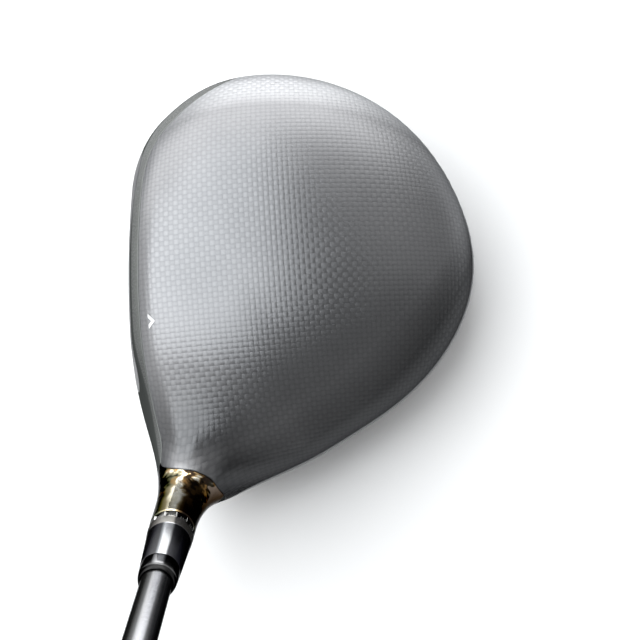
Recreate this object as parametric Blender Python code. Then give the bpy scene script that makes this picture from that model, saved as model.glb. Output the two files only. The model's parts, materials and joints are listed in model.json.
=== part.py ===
"""Golf driver, right-handed, at address: face to -X, toe to +Y, shaft leaning up towards -Y.

The head's outer skin is one smooth implicit surface. Its panels are cut from that skin along
shared seam curves and thickened inward. Everything round is spun about its own axis.
Lengths are in millimetres and are turned into metres when a mesh is made.
"""
import math

import bmesh
import bpy
import numpy as np
from mathutils import Matrix, Vector
from mathutils.geometry import delaunay_2d_cdt

MM = 0.001

# ---------------------------------------------------------------- driving dimensions
LIE = math.radians(58.0)
LOFT = math.radians(10.5)
CROWN_TOP = 62.0
RIM_HEIGHT = 34.0
RIM_SWEEP = 3.0
SOLE_DEPTH = 0.6
FACE_SETBACK = -38.0
FACE_MID_HEIGHT = 30.0
BULGE = 620.0
ROLL = 620.0
HEEL_START = -17.2
HEEL_RELIEF = 116.0
EDGE_BLEND = 7.0
NECK_BLEND = 28.0
NECK_LOW = 12.0
MIDDLE = np.array([0.0, 0.0, 28.0])

# fullness of the crown and the sole: powers of the hull's level, each with its change towards the rear
CROWN_POWER = 2.3
CROWN_POWER_REARWARD = 0.3
SOLE_POWER = 3.0
SOLE_POWER_REARWARD = 0.9
HEIGHT_POWER = 1.55

HOSEL_FOOT = np.array([-17.5, -35.0, 0.0])
HOSEL_AXIS = np.array([0.0, -math.cos(LIE), math.sin(LIE)])
HOSEL_R = 6.6
HOSEL_TOP = 83.5
NECK_HUB = HOSEL_FOOT + 35.0 * HOSEL_AXIS
CLUB_LENGTH = 1162.0

# widest line of the head from above: rear, toe, face side, heel
OUTLINE = [(71.0, 0.0), (67.2, 22.0), (54.5, 43.8), (31.0, 60.6), (7.0, 65.4), (-11.0, 61.9),
           (-24.6, 52.2), (-38.3, 36.4), (-51.6, 15.9), (-56.4, -7.0), (-50.0, -30.0),
           (-37.0, -49.0), (-22.0, -58.8), (-6.0, -62.7), (10.0, -61.2), (29.8, -51.7),
           (50.4, -37.8), (64.6, -20.5)]

GAP = 0.3
BOND_GAP = 0.5
METAL_SKIN = 2.0
COLLAR_SKIN = 2.7
PANEL_SKIN = 0.8
LEDGE_DEPTH = PANEL_SKIN + BOND_GAP
LEDGE_WIDTH = 4.0
FACE_SKIN = 1.6
POCKET_THICKNESS = 2.0
POCKET_SINK = 0.4

# spacing of the points along the seams
SEAM_PITCH = 4.0
RIM_SEAM_PITCH = 3.6
TOPLINE_PITCH = 2.4

# the seams of the rear ring: how far in from the widest line, and how high
RIM_INSET = 0.97
CROWN_EDGE_LIFT = 1.6
SOLE_EDGE_HEIGHT = 14.0
SOLE_EDGE_DIP = 13.0
SOLE_EDGE_DIP_WIDTH = 0.42

# the skin within this distance of the hosel's axis belongs to the neck
NECK_REACH = 17.0
NECK_START = 20.0


# ---------------------------------------------------------------- the head's outer surface
def closed_spline(angles, values):
    """Periodic cubic spline through (angle, value)."""
    order = np.argsort(angles)
    knots = np.asarray(angles)[order]
    held = np.asarray(values)[order]
    count = len(knots)
    spans = np.diff(np.append(knots, knots[0] + 2 * math.pi))
    system = np.zeros((count, count))
    rhs = np.zeros(count)
    for i in range(count):
        before = (i - 1) % count
        after = (i + 1) % count
        system[i, before] += spans[before]
        system[i, i] += 2 * (spans[before] + spans[i])
        system[i, after] += spans[i]
        rhs[i] = 6 * ((held[after] - held[i]) / spans[i] - (held[i] - held[before]) / spans[before])
    bend = np.linalg.solve(system, rhs)

    def value(angle):
        turned_angle = (np.asarray(angle) - knots[0]) % (2 * math.pi) + knots[0]
        i = np.clip(np.searchsorted(knots, turned_angle, side="right") - 1, 0, count - 1)
        j = (i + 1) % count
        low = turned_angle - knots[i]
        high = spans[i] - low
        cubic = (bend[i] * high**3 + bend[j] * low**3) / (6 * spans[i])
        linear = (held[i] / spans[i] - bend[i] * spans[i] / 6) * high
        return cubic + linear + (held[j] / spans[i] - bend[j] * spans[i] / 6) * low

    return value


outline_radius = closed_spline([math.atan2(y, x) for x, y in OUTLINE],
                               [math.hypot(x, y) for x, y in OUTLINE])


def rim_height(theta):
    return RIM_HEIGHT - RIM_SWEEP * np.cos(theta)


def smooth_max(a, b, width):
    near = np.maximum(width - np.abs(a - b), 0) / width
    return np.maximum(a, b) + near * near * width / 4


def above_rim(p):
    return p[..., 2] > rim_height(np.arctan2(p[..., 1], p[..., 0]))


def hull_level(p, above):
    """Crown and sole before the face is cut: 0 on the surface, negative inside."""
    theta = np.arctan2(p[..., 1], p[..., 0])
    rearward = np.cos(theta)
    rim = rim_height(theta)
    plan_power = np.where(above, CROWN_POWER - CROWN_POWER_REARWARD * rearward,
                          SOLE_POWER - SOLE_POWER_REARWARD * rearward)
    reach = np.where(above, CROWN_TOP - rim, rim + SOLE_DEPTH)
    plan = np.hypot(p[..., 0], p[..., 1]) / outline_radius(theta)
    return plan**plan_power + (np.abs(p[..., 2] - rim) / reach) ** HEIGHT_POWER - 1.0


def gradient(level, p, step=0.02):
    slope = np.empty(p.shape)
    for k in range(3):
        shift = np.zeros(3)
        shift[k] = step
        slope[..., k] = (level(p + shift) - level(p - shift)) / (2 * step)
    return slope


def hull_distance(p):
    """Each side of the rim keeps its own powers while the slope is taken across it."""
    above = above_rim(p)
    steepness = np.linalg.norm(gradient(lambda near: hull_level(near, above), p), axis=-1)
    return hull_level(p, above) / np.maximum(steepness, 0.004)


def face_x(y, z):
    """The striking face: loft, bulge and roll, with the heel end falling back to the neck."""
    up = z - FACE_MID_HEIGHT
    bulge = y**2 / BULGE + np.maximum(HEEL_START - y, 0) ** 2 / HEEL_RELIEF
    return FACE_SETBACK + bulge + up * math.tan(LOFT) + up**2 / ROLL


def face_distance(p):
    return (face_x(p[..., 1], p[..., 2]) - p[..., 0]) * math.cos(LOFT)


def hosel_coordinates(p):
    """Distance along the hosel axis and away from it."""
    offset = p - HOSEL_FOOT
    along = offset @ HOSEL_AXIS
    return along, np.linalg.norm(offset - along[..., None] * HOSEL_AXIS, axis=-1)


def head_distance(p):
    body = smooth_max(hull_distance(p), face_distance(p), EDGE_BLEND)
    along, away = hosel_coordinates(p)
    neck = np.maximum(away - HOSEL_R, NECK_LOW - along)
    return np.maximum(-smooth_max(-body, -neck, NECK_BLEND), -p[..., 2])


def unit(v):
    return v / np.linalg.norm(v, axis=-1, keepdims=True)


def normals_at(p):
    return unit(gradient(head_distance, p, 0.05))


def cast(start, direction, reach=180.0):
    """Where a line from inside the head leaves it."""
    near = np.zeros(direction.shape[:-1])
    far = np.full(direction.shape[:-1], reach)
    for _ in range(34):
        middle = (near + far) / 2
        inside = head_distance(start + middle[..., None] * direction) < 0
        near = np.where(inside, middle, near)
        far = np.where(inside, far, middle)
    return start + ((near + far) / 2)[..., None] * direction


def onto_skin(points, centre=NECK_HUB):
    """Push points near the skin onto it, along lines from a centre inside the head."""
    return cast(centre, unit(np.asarray(points, float) - centre))


# ---------------------------------------------------------------- seam curves
def smooth_path(knots, spacing, closed=False):
    """Evenly spaced points on a Catmull-Rom curve through the knots."""
    k = np.asarray(knots, float)
    k = np.vstack([k[-1], k, k[:2]] if closed else [2 * k[0] - k[1], k, 2 * k[-1] - k[-2]])
    t = np.linspace(0, 1, 24, endpoint=False)[:, None]
    pieces = []
    for a, b, c, d in zip(k, k[1:], k[2:], k[3:]):
        pieces.append(0.5 * (2 * b + (c - a) * t + (2 * a - 5 * b + 4 * c - d) * t**2
                             + (3 * b - a - 3 * c + d) * t**3))
    return spread(np.vstack(pieces + [k[-2:-1]]), spacing)


def spread(path, spacing):
    """The same path with evenly spaced points."""
    lengths = np.append(0, np.cumsum(np.linalg.norm(np.diff(path, axis=0), axis=1)))
    count = max(3, int(round(lengths[-1] / spacing)) + 1)
    even = np.linspace(0, lengths[-1], count)
    return np.stack([np.interp(even, lengths, path[:, k]) for k in range(3)], axis=1)


def seam(knots, spacing, centre=NECK_HUB):
    return onto_skin(smooth_path(onto_skin(knots, centre), spacing), centre)


def rim_seam(start, end, height):
    """A seam round the back of the head between two azimuths, at a height above the ground."""
    theta = np.linspace(math.radians(start), math.radians(end), 60)
    plan = RIM_INSET * outline_radius(theta)
    knots = np.stack([plan * np.cos(theta), plan * np.sin(theta), height(theta)], axis=1)
    return seam(knots, RIM_SEAM_PITCH, MIDDLE)


def crown_edge_height(theta):
    return rim_height(theta) + CROWN_EDGE_LIFT


def sole_edge_height(theta):
    return SOLE_EDGE_HEIGHT - SOLE_EDGE_DIP * np.exp(-((theta / SOLE_EDGE_DIP_WIDTH) ** 2))


NECK_SEAM_KNOTS = [(-6.2, -68.3, 44.0), (-6.6, -67.0, 50.5), (-8.5, -64.0, 55.6), (-12.4, -61.9, 58.7),
                   (-17.3, -61.0, 59.4), (-21.8, -60.3, 56.4), (-24.2, -58.8, 52.2)]
TOPLINE_KNOTS = [(-24.3, -52.5, 50.8), (-26.0, -45.3, 49.3), (-27.6, -36.3, 50.6), (-28.9, -23.3, 55.2),
                 (-29.5, -10.0, 57.1), (-29.6, 5.0, 57.0), (-29.5, 18.3, 54.6), (-28.7, 32.5, 49.7),
                 (-24.5, 43.9, 46.2), (-9.0, 57.0, 41.5)]
HEEL_AZIMUTH = -96.0
TOE_AZIMUTH = 90.0

rear_crown_seam = rim_seam(TOE_AZIMUTH, HEEL_AZIMUTH, crown_edge_height)
rear_sole_seam = rim_seam(TOE_AZIMUTH - 6.0, HEEL_AZIMUTH + 8.0, sole_edge_height)
front_crown_seam = seam([rear_crown_seam[-1], *NECK_SEAM_KNOTS, *TOPLINE_KNOTS, rear_crown_seam[0]],
                        TOPLINE_PITCH)
toe_seam = seam([rear_crown_seam[0], (1.5, 60.0, 25.0), rear_sole_seam[0]], SEAM_PITCH)
front_sole_seam = seam([rear_sole_seam[0], (-6.0, 40.0, 4.0), (-9.0, 22.0, 1.0), (-10.0, 0.0, 0.3),
                        (-8.0, -22.0, 2.0), (-3.0, -42.0, 7.0), rear_sole_seam[-1]], SEAM_PITCH)
heel_seam = seam([rear_sole_seam[-1], (-3.0, -60.0, 24.0), rear_crown_seam[-1]], SEAM_PITCH)


def joined(*paths):
    """One closed loop from paths that meet end to end."""
    return np.vstack([path[:-1] for path in paths])


def circle(centre, axis, radius, count):
    side = unit(np.cross(axis, (1.0, 0.3, 0.2)))
    up = np.cross(axis, side)
    angle = np.linspace(0, 2 * math.pi, count, endpoint=False)[:, None]
    return centre + radius * (np.cos(angle) * side + np.sin(angle) * up)


def port_loop(centre, axis, radius, count):
    """A round hole's edge: the circle pushed out along the port's axis onto the skin."""
    ring = circle(np.asarray(centre, float) - 12.0 * axis, axis, radius, count)
    return cast(ring, np.broadcast_to(axis, ring.shape), 40.0)


def stadium_loop(middle, half_length, half_width):
    """A slot's edge on the sole, running heel to toe."""
    turn = np.linspace(0, math.pi, 7)
    straight = np.linspace(-half_length, half_length, 14)[1:-1]
    points = [(middle[0] + half_width * math.cos(a), middle[1] + half_length + half_width * math.sin(a))
              for a in turn]
    points += [(middle[0] - half_width, middle[1] + y) for y in straight[::-1]]
    points += [(middle[0] - half_width * math.cos(a), middle[1] - half_length - half_width * math.sin(a))
               for a in turn]
    points += [(middle[0] + half_width, middle[1] + y) for y in straight]
    start = np.array([(x, y, 15.0) for x, y in points])
    return cast(start, np.broadcast_to(np.array([0.0, 0.0, -1.0]), start.shape), 60.0)


FACE_KNOTS = [(50.0, 34.0), (43.0, 44.5), (26.0, 49.5), (5.0, 50.8), (-15.0, 48.5), (-28.5, 42.5),
              (-35.5, 34.0), (-36.5, 24.5), (-30.5, 13.5), (-15.0, 7.0), (5.0, 5.6), (26.0, 7.0),
              (41.0, 13.0), (49.0, 23.5)]


def face_loop():
    corners = [(face_x(y, z), y, z) for y, z in FACE_KNOTS]
    return onto_skin(smooth_path(corners, SEAM_PITCH, closed=True)[:-1])


# ---------------------------------------------------------------- materials
def material(name, colour, roughness, metallic):
    made = bpy.data.materials.new(name)
    made.use_nodes = True
    shader = made.node_tree.nodes["Principled BSDF"]
    shader.inputs["Base Color"].default_value = (*colour, 1.0)
    shader.inputs["Roughness"].default_value = roughness
    shader.inputs["Metallic"].default_value = metallic
    made.diffuse_color = (*colour, 1.0)
    return made


# ---------------------------------------------------------------- from skin to solid panels
def chart(points, pole):
    """Flatten directions seen from the neck hub, with the pole sent to infinity."""
    side = unit(np.cross(pole, (0.13, 0.21, 0.97)))
    up = np.cross(pole, side)
    look = unit(points - NECK_HUB)
    return np.stack([look @ side, look @ up], axis=1) / (1.0 - look @ pole)[:, None]


def inside_polygon(spots, polygon):
    crossed = np.zeros(len(spots), bool)
    for a, b in zip(polygon, np.roll(polygon, -1, axis=0)):
        spans = (a[1] > spots[:, 1]) != (b[1] > spots[:, 1])
        slope = (b[0] - a[0]) / (b[1] - a[1] if b[1] != a[1] else 1e-12)
        crossed ^= spans & (spots[:, 0] < a[0] + (spots[:, 1] - a[1]) * slope)
    return crossed


def in_region(spots, polygons):
    kept = inside_polygon(spots, polygons[0])
    for hole in polygons[1:]:
        kept &= ~inside_polygon(spots, hole)
    return kept


def sphere_directions(count):
    i = np.arange(count) + 0.5
    z = 1 - 2 * i / count
    turn = math.pi * (1 + math.sqrt(5)) * i
    flat = np.sqrt(1 - z * z)
    return np.stack([flat * np.cos(turn), flat * np.sin(turn), z], axis=1)


def outward_side(loop, normals, polygon, pole, is_hole):
    """Unit vectors lying in the skin, across the loop and away from the panel."""
    tangent = unit(np.roll(loop, -1, axis=0) - np.roll(loop, 1, axis=0))
    side = unit(np.cross(tangent, normals))
    probe = chart(loop + 0.4 * side, pole)
    within = inside_polygon(probe, polygon)
    goes_in = np.mean(within) > 0.5
    return -side if goes_in != is_hole else side


SITE_POOL = 9000
OPEN_SPACING = 5.2
RIM_SPACING = 3.8
TOPLINE_SPACING = 2.8
NECK_SPACING = 2.4


def sites(polygons, pole, edge_points):
    """Evenly thinned points of the skin inside the panel and clear of its edges."""
    body = cast(MIDDLE, sphere_directions(SITE_POOL))
    neck = cast(NECK_HUB, sphere_directions(SITE_POOL))
    along, away = hosel_coordinates(body)
    body = body[(away > NECK_REACH) | (along < NECK_START)]
    along, away = hosel_coordinates(neck)
    neck = neck[(away < NECK_REACH + 5.0) & (along > NECK_LOW) & (along < HOSEL_TOP - 1.5)]
    pool = np.vstack([neck, body])
    pool = pool[in_region(chart(pool, pole), polygons)]
    kept = np.array(edge_points)
    chosen = []
    for p, room in zip(pool, site_spacing(pool)):
        if np.min(np.sum((kept - p) ** 2, axis=1)) > room * room:
            kept = np.vstack([kept, p])
            chosen.append(p)
    return np.array(chosen).reshape(-1, 3)


def site_spacing(p):
    """Closer points where the skin turns fast: the topline, the rim and the neck."""
    along, away = hosel_coordinates(p)
    on_neck = (away < 15.0) & (along > 30.0)
    off_rim = np.abs(p[:, 2] - rim_height(np.arctan2(p[:, 1], p[:, 0])))
    on_topline = (np.abs(face_distance(p)) < 6.0) & (np.abs(hull_distance(p)) < 6.0)
    wide = np.where(off_rim < 9.0, RIM_SPACING, OPEN_SPACING)
    return np.where(on_neck, NECK_SPACING, np.where(on_topline, TOPLINE_SPACING, wide))


def skin_panel(name, made_of, loops, pole, thickness, depth=0.0, ledges=None):
    """A panel of the skin as a closed shell.

    loops[0] is its edge and the rest are holes. A ledge is a step round a loop that carries the
    neighbouring panel: (depth, one width for each point of the loop), with 0 where there is none.
    """
    ledges = ledges or {}
    pole = unit(np.asarray(pole, float))
    edges = []
    sides = []
    for number, loop in enumerate(loops):
        side = outward_side(loop, normals_at(loop), chart(loop, pole), pole, number > 0)
        edges.append(onto_skin(loop - GAP / 2 * side))
        sides.append(side)
    polygons = [chart(edge, pole) for edge in edges]
    top = np.vstack(edges + [sites(polygons, pole, np.vstack(edges))])
    starts = np.cumsum([0] + [len(edge) for edge in edges])
    hoops = [list(range(starts[k], starts[k + 1])) for k in range(len(edges))]
    fences = [(a, b) for hoop in hoops for a, b in zip(hoop, hoop[1:] + hoop[:1])]
    flat = [Vector(map(float, spot)) for spot in chart(top, pole)]
    spots, _, faces, sources, _, _ = delaunay_2d_cdt(flat, fences, [], 0, 1e-9)
    middles = np.array([sum((spots[i] for i in face), Vector((0, 0))) / 3 for face in faces])
    kept = in_region(middles, polygons)
    triangles = [[sources[i][0] for i in face] for face, keep in zip(faces, kept) if keep]

    up = normals_at(top)
    mesh = bmesh.new()
    upper = [mesh.verts.new(Vector(v) * MM) for v in top - depth * up]
    lower = [mesh.verts.new(Vector(v) * MM) for v in top - (depth + thickness) * up]
    for a, b, c in triangles:
        mesh.faces.new((upper[a], upper[b], upper[c]))
        mesh.faces.new((lower[c], lower[b], lower[a]))
    for number, hoop in enumerate(hoops):
        pairs = list(zip(hoop, hoop[1:] + hoop[:1]))
        if number not in ledges:
            for a, b in pairs:
                mesh.faces.new((upper[a], lower[a], lower[b], upper[b]))
            continue
        ledge_depth, widths = ledges[number]
        step = {}
        tip = {}
        under = {}
        for k, i in enumerate(hoop):
            step[i] = mesh.verts.new(Vector(top[i] - ledge_depth * up[i]) * MM)
            tip[i] = step[i]
            under[i] = lower[i]
            if widths[k] > 0:
                rest = onto_skin(top[i] + widths[k] * sides[number][k])
                rest_up = normals_at(rest)
                tip[i] = mesh.verts.new(Vector(rest - ledge_depth * rest_up) * MM)
                under[i] = mesh.verts.new(Vector(rest - thickness * rest_up) * MM)
        for a, b in pairs:
            for ring in ((upper[a], step[a], step[b], upper[b]), (step[a], tip[a], tip[b], step[b]),
                         (tip[a], under[a], under[b], tip[b]), (under[a], lower[a], lower[b], under[b])):
                corners = list(dict.fromkeys(ring))
                if len(corners) > 2:
                    mesh.faces.new(corners)
    bmesh.ops.triangulate(mesh, faces=[f for f in mesh.faces if len(f.verts) > 3])
    return finish(name, mesh, made_of)


def finish(name, mesh, made_of, smooth_angle=35.0):
    bmesh.ops.recalc_face_normals(mesh, faces=mesh.faces)
    data = bpy.data.meshes.new(name)
    mesh.to_mesh(data)
    mesh.free()
    data.materials.append(made_of)
    data.shade_smooth()
    data.set_sharp_from_angle(angle=math.radians(smooth_angle))
    made = bpy.data.objects.new(name, data)
    bpy.context.collection.objects.link(made)
    return made


# ---------------------------------------------------------------- round parts
def turned(name, profile, made_of, parent, start=(0.0, 0.0, 0.0), steps=32):
    """A closed profile of (radius, height) spun about the parent's Z axis."""
    mesh = bmesh.new()
    ring = [mesh.verts.new(Vector((radius, 0.0, height)) * MM) for radius, height in profile]
    edges = [mesh.edges.new((a, b)) for a, b in zip(ring, ring[1:] + ring[:1])
             if a.co.x > 1e-9 or b.co.x > 1e-9]
    bmesh.ops.spin(mesh, geom=ring + edges, cent=(0, 0, 0), axis=(0, 0, 1), angle=2 * math.pi,
                   steps=steps, use_merge=True)
    bmesh.ops.remove_doubles(mesh, verts=mesh.verts, dist=1e-7)
    made = finish(name, mesh, made_of)
    made.parent = parent
    made.location = Vector(start) * MM
    return made


def axis_empty(name, place, direction):
    """An empty whose Z axis is a joint's axis."""
    made = bpy.data.objects.new(name, None)
    bpy.context.collection.objects.link(made)
    made.location = Vector(place) * MM
    made.rotation_mode = "QUATERNION"
    made.rotation_quaternion = Vector((0, 0, 1)).rotation_difference(Vector(direction))
    return made


def hidden_cutter(name, mesh, parent):
    made = finish(name, mesh, bpy.data.materials[0])
    made.parent = parent
    made.hide_render = True
    made.display_type = "WIRE"
    return made


def carve(target, cutter, operation="DIFFERENCE"):
    """Apply a Boolean for good and drop its cutter, so that only real parts are left."""
    step = target.modifiers.new(cutter.name, "BOOLEAN")
    step.operation = operation
    step.solver = "EXACT"
    step.object = cutter
    bpy.context.view_layer.update()
    evaluated = target.evaluated_get(bpy.context.evaluated_depsgraph_get())
    carved = bpy.data.meshes.new_from_object(evaluated)
    target.modifiers.clear()
    target.data = carved
    bpy.data.objects.remove(cutter)


def stacked(hoops, capped):
    """Faces through hoops of points: capped at both ends, or closed round on itself."""
    mesh = bmesh.new()
    rows = [[mesh.verts.new(Vector(p) * MM) for p in hoop] for hoop in hoops]
    following = rows[1:] if capped else rows[1:] + rows[:1]
    for lower, upper in zip(rows, following):
        for k in range(len(lower)):
            after = (k + 1) % len(lower)
            mesh.faces.new((lower[k], lower[after], upper[after], upper[k]))
    if capped:
        mesh.faces.new(rows[0][::-1])
        mesh.faces.new(rows[-1])
    return mesh


def round_hoop(radius, height, count):
    return lobed_hoop(lambda angle: radius, height, count)


def lobed_hoop(radius_at, height, count):
    angles = [2 * math.pi * k / count for k in range(count)]
    return [(radius_at(a) * math.cos(a), radius_at(a) * math.sin(a), height) for a in angles]


def star_socket(name, low, high, radius, parent):
    """Cutter for a six-lobed driver socket."""
    def lobe(angle):
        return radius * (0.87 + 0.13 * math.cos(6 * angle))
    return hidden_cutter(name, stacked([lobed_hoop(lobe, low, 24), lobed_hoop(lobe, high, 24)], True), parent)


def off_tooth(angle, phase):
    """Degrees from the nearest of twelve equal marks round a circle."""
    turned_by = (math.degrees(angle) - phase) % 30.0
    return min(turned_by, 30.0 - turned_by)


# ---------------------------------------------------------------- sizes of the round parts
# heights are measured along the hosel axis from the ground
SPLINE_COUNT = 72
BORE_R = 5.45
PORT_R = 4.7
WEB_LOW = 31.0
WEB_HIGH = 34.0
WEB_HOLE_R = 2.8
SPLINE_LOW = 48.5
SPLINE_HIGH = 55.6
SLEEVE_R = 5.1
SLEEVE_LOW = 49.0
FLANGE_LOW = HOSEL_TOP + GAP
FLANGE_R = 6.6
NOTCH_DEPTH = 0.5
BAND_LOW = 86.9
BAND_HIGH = 90.3
BARREL_LOW_R = 6.36
BARREL_TOP_R = 5.68
SLEEVE_TOP = 106.0
SPLINE_DEPTH = 0.35
FERRULE_TOP = 112.8
TIP_R = 4.25
FERRULE_SHAFT_R = TIP_R + 0.12
SLEEVE_BORE_R = TIP_R + 0.32
SLEEVE_STOP = 62.0
SHAFT_LOW = 62.4
SHAFT_END = CLUB_LENGTH - 6.0
BUTT_R = 7.5
SHAFT_WALL = 0.9
GRIP_LOW = 892.0

PORT_LOOP_R = 8.0
FRONT_PORT_SPOT = (-21.0, 4.0)
REAR_PORT_HEIGHT = 19.5
SLOT_MIDDLE = (-33.0, 1.0)
SLOT_HALF_LENGTH = 25.0
SLOT_HALF_WIDTH = 1.7


def shaft_radius(height):
    taper = (height - FERRULE_TOP) / (SHAFT_END - FERRULE_TOP)
    return FERRULE_SHAFT_R + max(0.0, taper) * (BUTT_R - FERRULE_SHAFT_R)


# ---------------------------------------------------------------- head panels
def ledge_widths(*runs):
    """Ledge widths round a loop: each run is (points, has a ledge), bare at its two ends."""
    widths = []
    for count, has_ledge in runs:
        run = np.zeros(count)
        if has_ledge:
            run[3:-2] = LEDGE_WIDTH
        widths.extend(run)
    return widths


def bore_cutter(parent):
    """Screw port, web hole and splined sleeve bore, one above the other."""
    def splined(angle):
        return BORE_R - 0.5 if off_tooth(angle, 15.0) < 2.6 else BORE_R
    plain = [(PORT_R, -20.0), (PORT_R, WEB_LOW), (WEB_HOLE_R, WEB_LOW), (WEB_HOLE_R, WEB_HIGH),
             (BORE_R, WEB_HIGH), (BORE_R, SPLINE_LOW)]
    hoops = [round_hoop(radius, height, SPLINE_COUNT) for radius, height in plain]
    hoops.append(lobed_hoop(splined, SPLINE_LOW, SPLINE_COUNT))
    hoops.append(lobed_hoop(splined, SPLINE_HIGH, SPLINE_COUNT))
    hoops.append(round_hoop(BORE_R, SPLINE_HIGH, SPLINE_COUNT))
    hoops.append(round_hoop(BORE_R, HOSEL_TOP + 10.0, SPLINE_COUNT))
    return hidden_cutter("bore_cutter", stacked(hoops, True), parent)


def hosel_core():
    """The solid core of the hosel, from inside the sole skin to just under the hosel's rim."""
    radius = HOSEL_R - 0.6
    low = circle(HOSEL_FOOT + 30.0 * HOSEL_AXIS, HOSEL_AXIS, radius, 36)
    down = np.broadcast_to(-HOSEL_AXIS, low.shape)
    foot = cast(low, down, 60.0) + 1.2 * HOSEL_AXIS
    top = circle(HOSEL_FOOT + (HOSEL_TOP - 0.6) * HOSEL_AXIS, HOSEL_AXIS, radius, 36)
    return hidden_cutter("hosel_core", stacked([foot, top], True), None)


def front_collar(metal, hosel, front_port):
    """Cast front body: topline, face frame, neck with its bore, front of the sole."""
    edge = joined(front_crown_seam, toe_seam, front_sole_seam, heel_seam)
    rim = onto_skin(circle(HOSEL_FOOT + HOSEL_TOP * HOSEL_AXIS, HOSEL_AXIS, HOSEL_R, 36))
    opening = face_loop()
    runs = ledge_widths((len(front_crown_seam) - 1, True), (len(toe_seam) - 1, False),
                        (len(front_sole_seam) - 1, True), (len(heel_seam) - 1, False))
    ledges = {0: (LEDGE_DEPTH, runs), 2: (FACE_SKIN + BOND_GAP, [3.0] * len(opening))}
    slot = stadium_loop(SLOT_MIDDLE, SLOT_HALF_LENGTH, SLOT_HALF_WIDTH)
    collar = skin_panel("front_collar", metal, [edge, rim, opening, slot, front_port], (0.6, 0.78, 0.1),
                        COLLAR_SKIN, ledges=ledges)
    carve(collar, hosel_core(), "UNION")
    carve(collar, bore_cutter(hosel))
    return collar


def rear_ring(metal, rear_port):
    """Forged band round the back, stepped to carry the crown and the sole panel."""
    edge = joined(rear_crown_seam, heel_seam[::-1], rear_sole_seam[::-1], toe_seam[::-1])
    runs = ledge_widths((len(rear_crown_seam) - 1, True), (len(heel_seam) - 1, False),
                        (len(rear_sole_seam) - 1, True), (len(toe_seam) - 1, False))
    return skin_panel("rear_ring", metal, [edge, rear_port], (-1.0, -0.25, 0.0), METAL_SKIN,
                      ledges={0: (LEDGE_DEPTH, runs)})


def sound_rib(made_of):
    """A thin fin standing on the sole panel's inside, heel to toe."""
    half = 0.6
    height = 5.0
    lines = np.linspace(-36.0, 40.0, 16)
    start = np.array([(14.0, y, 20.0) for y in lines])
    low = cast(start, np.broadcast_to(np.array([0.0, 0.0, -1.0]), start.shape), 60.0)
    low = low - (PANEL_SKIN + GAP) * normals_at(low) + np.array([0.0, 0.0, 0.05])
    corners = [(-half, 0.0), (half, 0.0), (half, height), (-half, height)]
    hoops = [[(p[0] + x, p[1], p[2] + z) for x, z in corners] for p in low]
    return finish("sound_rib", stacked(hoops, True), made_of)


# ---------------------------------------------------------------- weights and their screws
def weight_port(name, made_of, parent):
    """A lipped cup with a threaded boss, sunk just under the skin."""
    profile = [(7.8, -1.1), (6.8, -1.1), (6.8, -7.2), (2.2, -7.2), (2.2, -14.5), (3.6, -14.5),
               (3.6, -9.0), (7.3, -9.0), (7.3, -1.5), (7.8, -1.5)]
    return turned(name, profile, made_of, parent)


def weight_disc(name, made_of, parent):
    profile = [(6.5, -6.8), (6.5, -2.3), (6.1, -1.9), (4.0, -1.9), (4.0, -4.6), (2.25, -4.6),
               (2.25, -6.8)]
    return turned(name, profile, made_of, parent)


def weight_screw(name, made_of, parent):
    profile = [(0.0, -13.6), (1.5, -13.6), (1.9, -13.2), (1.9, -4.3), (3.6, -4.3), (3.6, -2.5),
               (3.3, -2.2), (0.0, -2.2)]
    made = turned(name, profile, made_of, parent)
    carve(made, star_socket(name + "_socket", -4.0, 0.0, 2.1, parent))
    return made


# ---------------------------------------------------------------- sleeve, screw, shaft and grip
def loft_sleeve(made_of, parent):
    """Splined tip, smooth barrel, notched flange on the hosel and the sleeve's visible body."""
    def splined(angle):
        return SLEEVE_R if off_tooth(angle, 0.0) < 5.1 else SLEEVE_R - SPLINE_DEPTH

    def notched(angle):
        return FLANGE_R - NOTCH_DEPTH if off_tooth(angle, 15.0) < 2.6 else FLANGE_R

    outer = [(4.5, SLEEVE_LOW), (splined, SLEEVE_LOW + 0.6), (splined, 56.0), (SLEEVE_R, 56.0),
             (SLEEVE_R, FLANGE_LOW), (FLANGE_R - NOTCH_DEPTH, FLANGE_LOW), (notched, FLANGE_LOW + 0.4),
             (notched, BAND_LOW - 0.1), (FLANGE_R - 0.05, BAND_LOW), (FLANGE_R - 0.08, BAND_LOW + 1.5),
             (BARREL_LOW_R + 0.06, BAND_HIGH), (BARREL_LOW_R, BAND_HIGH + 0.15), (BARREL_TOP_R, SLEEVE_TOP)]
    inner = [(SLEEVE_BORE_R, SLEEVE_TOP), (SLEEVE_BORE_R, SLEEVE_STOP), (4.1, SLEEVE_STOP),
             (4.1, SLEEVE_LOW)]
    hoops = []
    for radius, height in outer + inner:
        shape = radius if callable(radius) else (lambda angle, r=radius: r)
        hoops.append(lobed_hoop(shape, height, SPLINE_COUNT))
    made = finish("loft_sleeve", stacked(hoops, False), made_of)
    made.parent = parent
    return made


def hosel_screw(made_of, parent):
    profile = [(0.0, 25.2), (3.9, 25.2), (4.2, 25.6), (4.2, 29.6), (2.45, 29.6), (2.45, 58.4),
               (1.9, 59.0), (0.0, 59.0)]
    made = turned("hosel_screw", profile, made_of, parent)
    carve(made, star_socket("hosel_screw_socket", 20.0, 28.2, 2.4, parent))
    return made


def shaft(made_of, parent):
    profile = [(TIP_R, SHAFT_LOW), (FERRULE_SHAFT_R, FERRULE_TOP), (BUTT_R, SHAFT_END),
               (BUTT_R - SHAFT_WALL, SHAFT_END), (TIP_R - SHAFT_WALL, FERRULE_TOP),
               (TIP_R - SHAFT_WALL, SHAFT_LOW)]
    return turned("shaft", profile, made_of, parent)


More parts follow.
